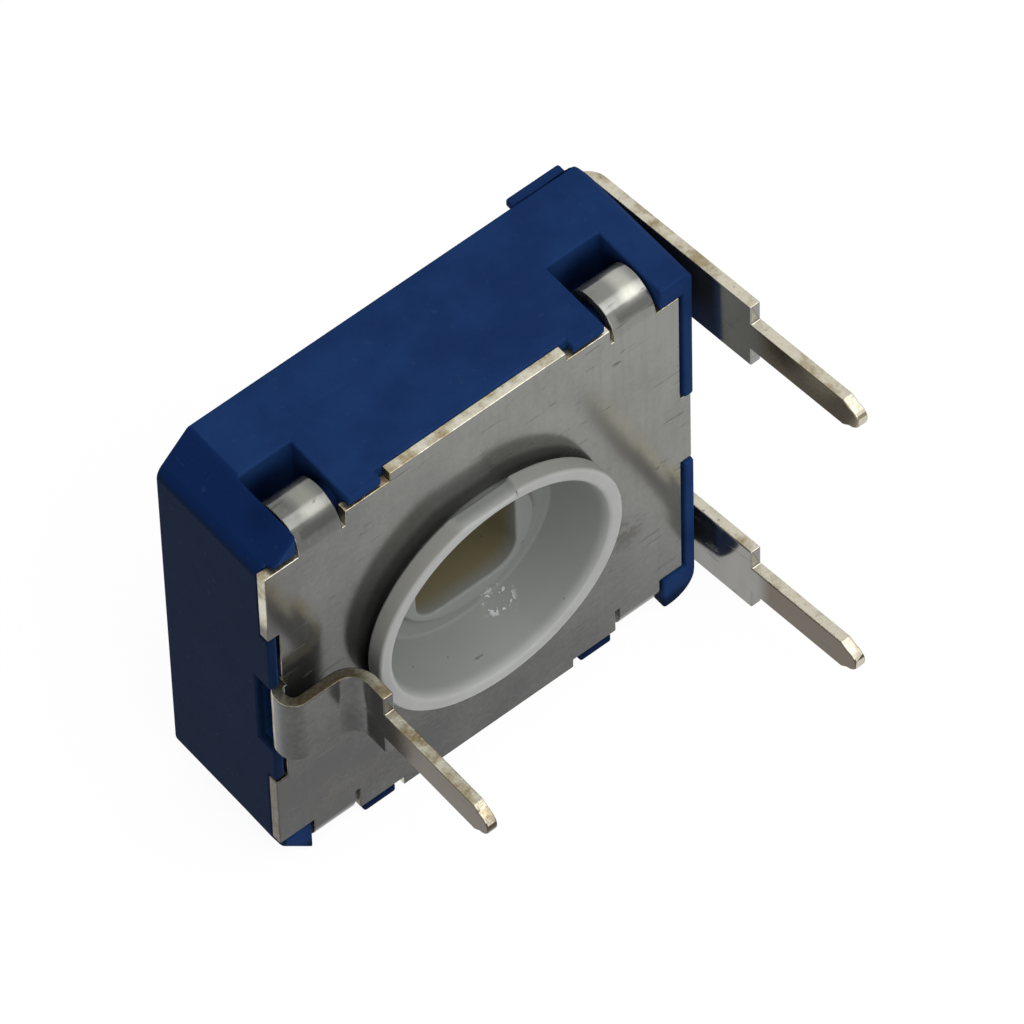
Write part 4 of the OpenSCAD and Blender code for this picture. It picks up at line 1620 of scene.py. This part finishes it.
@dataclass
class Studio:
    """The pale floor, the soft lamps and the camera at the photograph's place."""

    camera_at: Place = (-0.096425, -0.127307, 0.239444)
    forward: Place = (0.34703, 0.44636, -0.82482)
    up: Place = (0.53091, 0.63149, 0.56511)
    look_at: Place = (0, 0, 0.0065)
    field_of_view: float = 4.8434
    floor_reach: float = 4.0
    paper: Colour = (0.6, 0.6, 0.6)
    glow: float = 1.09
    glow_share: float = 0.86
    fill: float = 0.50

    def lamp(self, name: str, place: Sequence[float], size: float, radiance: float) -> None:
        """Adds a soft square lamp that looks at the part.

        Args:
            name: The lamp's name.
            place: Where it hangs, in metres.
            size: Its side, in metres.
            radiance: How bright its face is.
        """
        data = bpy.data.lights.new(name, "AREA")
        data.shape = "SQUARE"
        data.size = size
        data.energy = radiance * math.pi * size * size
        lamp = bpy.data.objects.new(name, data)
        bpy.context.scene.collection.objects.link(lamp)
        lamp.location = place
        lamp.rotation_euler = (Vector(self.look_at) - Vector(place)).to_track_quat("-Z", "Y").to_euler()

    def backdrop(self, n: Nodes) -> Wire:
        """Adds the value that is 1 for camera, glossy and transmitted rays."""
        camera = n.add("ShaderNodeLightPath", out="Is Camera Ray")
        return camera.most(camera.other("Is Glossy Ray")).most(camera.other("Is Transmission Ray"))

    def floor(self) -> None:
        """Adds the floor: near white to the eye, with a faint shadow under the part."""
        Bench.clear()
        bpy.ops.mesh.primitive_plane_add(size=self.floor_reach, location=(0, 0, 0))
        plane = bpy.context.object
        plane.name = "floor"
        n = Nodes.named("floor")
        paper = n.add("ShaderNodeBsdfDiffuse", None, {"Color": (*self.paper, 1)})
        glow = n.add("ShaderNodeEmission", None, {"Color": WHITE, "Strength": self.glow})
        share = self.backdrop(n) * self.glow_share
        plane.data.materials.append(n.end(n.add("ShaderNodeMixShader", None, {0: share, 1: paper, 2: glow})))

    def world(self) -> None:
        """Sets the plain pale surroundings, white to the eye."""
        world = bpy.data.worlds.new("surroundings")
        bpy.context.scene.world = world
        n = Nodes(world)
        level = n.add("ShaderNodeMapRange", None, {"Value": self.backdrop(n), "To Min": self.fill, "To Max": 1.0})
        sky = n.add("ShaderNodeBackground", None, {"Color": WHITE, "Strength": level})
        n.end(sky, "ShaderNodeOutputWorld")

    def camera(self) -> None:
        """Puts the camera where the photograph was taken from."""
        data = bpy.data.cameras.new("camera")
        data.sensor_width = 36.0
        data.lens = data.sensor_width / 2 / math.tan(math.radians(self.field_of_view) / 2)
        data.clip_start, data.clip_end = 0.01, 50.0
        camera = bpy.data.objects.new("camera", data)
        bpy.context.scene.collection.objects.link(camera)
        back = -Vector(self.forward).normalized()
        right = Vector(self.up).cross(back).normalized()
        turn = Matrix((right, back.cross(right), back)).transposed()
        camera.matrix_world = Matrix.Translation(Vector(self.camera_at)) @ turn.to_4x4()
        bpy.context.scene.camera = camera

    def build(self) -> None:
        """Sets the whole studio up."""
        self.floor()
        self.world()
        self.lamp("key", (0.02, -0.12, 0.29), 0.24, 2.2)
        self.lamp("front", (-0.05, -0.30, 0.10), 0.24, 1.4)
        self.lamp("side", (0.22, -0.16, 0.20), 0.12, 1.6)
        self.camera()
        bpy.context.scene.view_settings.view_transform = "Standard"


PLATE_SHEET = TinnedSheet(
    "tinned_sheet",
    dark_patches=((-4.6, -2.15, 1.9, 0.7), (-3.3, -2.15, 1.35, 0.8), (-2.6, -2.15, 0.9, 0.4), (4.2, -2.15, 4.1, 0.6)),
    tab_highlights=((-4.5, 0.45, 0.35), (4.85, 0.38, 0.85)),
)
PLATE_EDGE = CutEdge(
    "sheared_edge",
    bared=0.65,
    dark_spots=(
        (-5.3, -2.9, 7.4, 1.3), (-6.3, -2.1, 2.6, 1.9), (-6.3, -2.1, 9.4, 0.9),
        # Painted shade in the slits beside the lower tabs.
        (-4.65, -2.0, 0.9, 1.4), (4.65, -2.0, 0.9, 1.4),
    ),
)
PIN_SHEET = TinnedSheet(
    "tinned_terminals", pale=(0.25, 0.25, 0.24), dull=(0.21, 0.205, 0.19), rough=0.05, metal=0.93, marks=0.5
)
PIN_EDGE = CutEdge("sheared_terminals", bright=(0.58, 0.55, 0.45))


def main() -> None:
    """Builds every sub-assembly in order."""
    logging.basicConfig(level=logging.INFO, format="%(message)s")
    lay = Layout()
    # Centres of the painted shade in the housing's tab pockets.
    pockets = tuple((x, -1.1, z) for x in (-lay.tab_x, lay.tab_x) for z in (1.1, lay.body_h - 1.1))
    Housing(lay).build(HousingPlastic(pockets=pockets).material())
    CoverPlate(lay).build(PLATE_SHEET.material(), PLATE_EDGE.material())
    Rotor(lay).build(RotorPlastic().material())
    pin_sheet, pin_edge, brass = (finish.material() for finish in (PIN_SHEET, PIN_EDGE, BRASS))
    for side in Side:
        EndTerminal(lay, side).build(pin_sheet, pin_edge)
        Rivet(lay, side).build(brass)
    Internals().dress()
    Studio().build()
    Bench.clear()


if __name__ == "__main__":
    main()
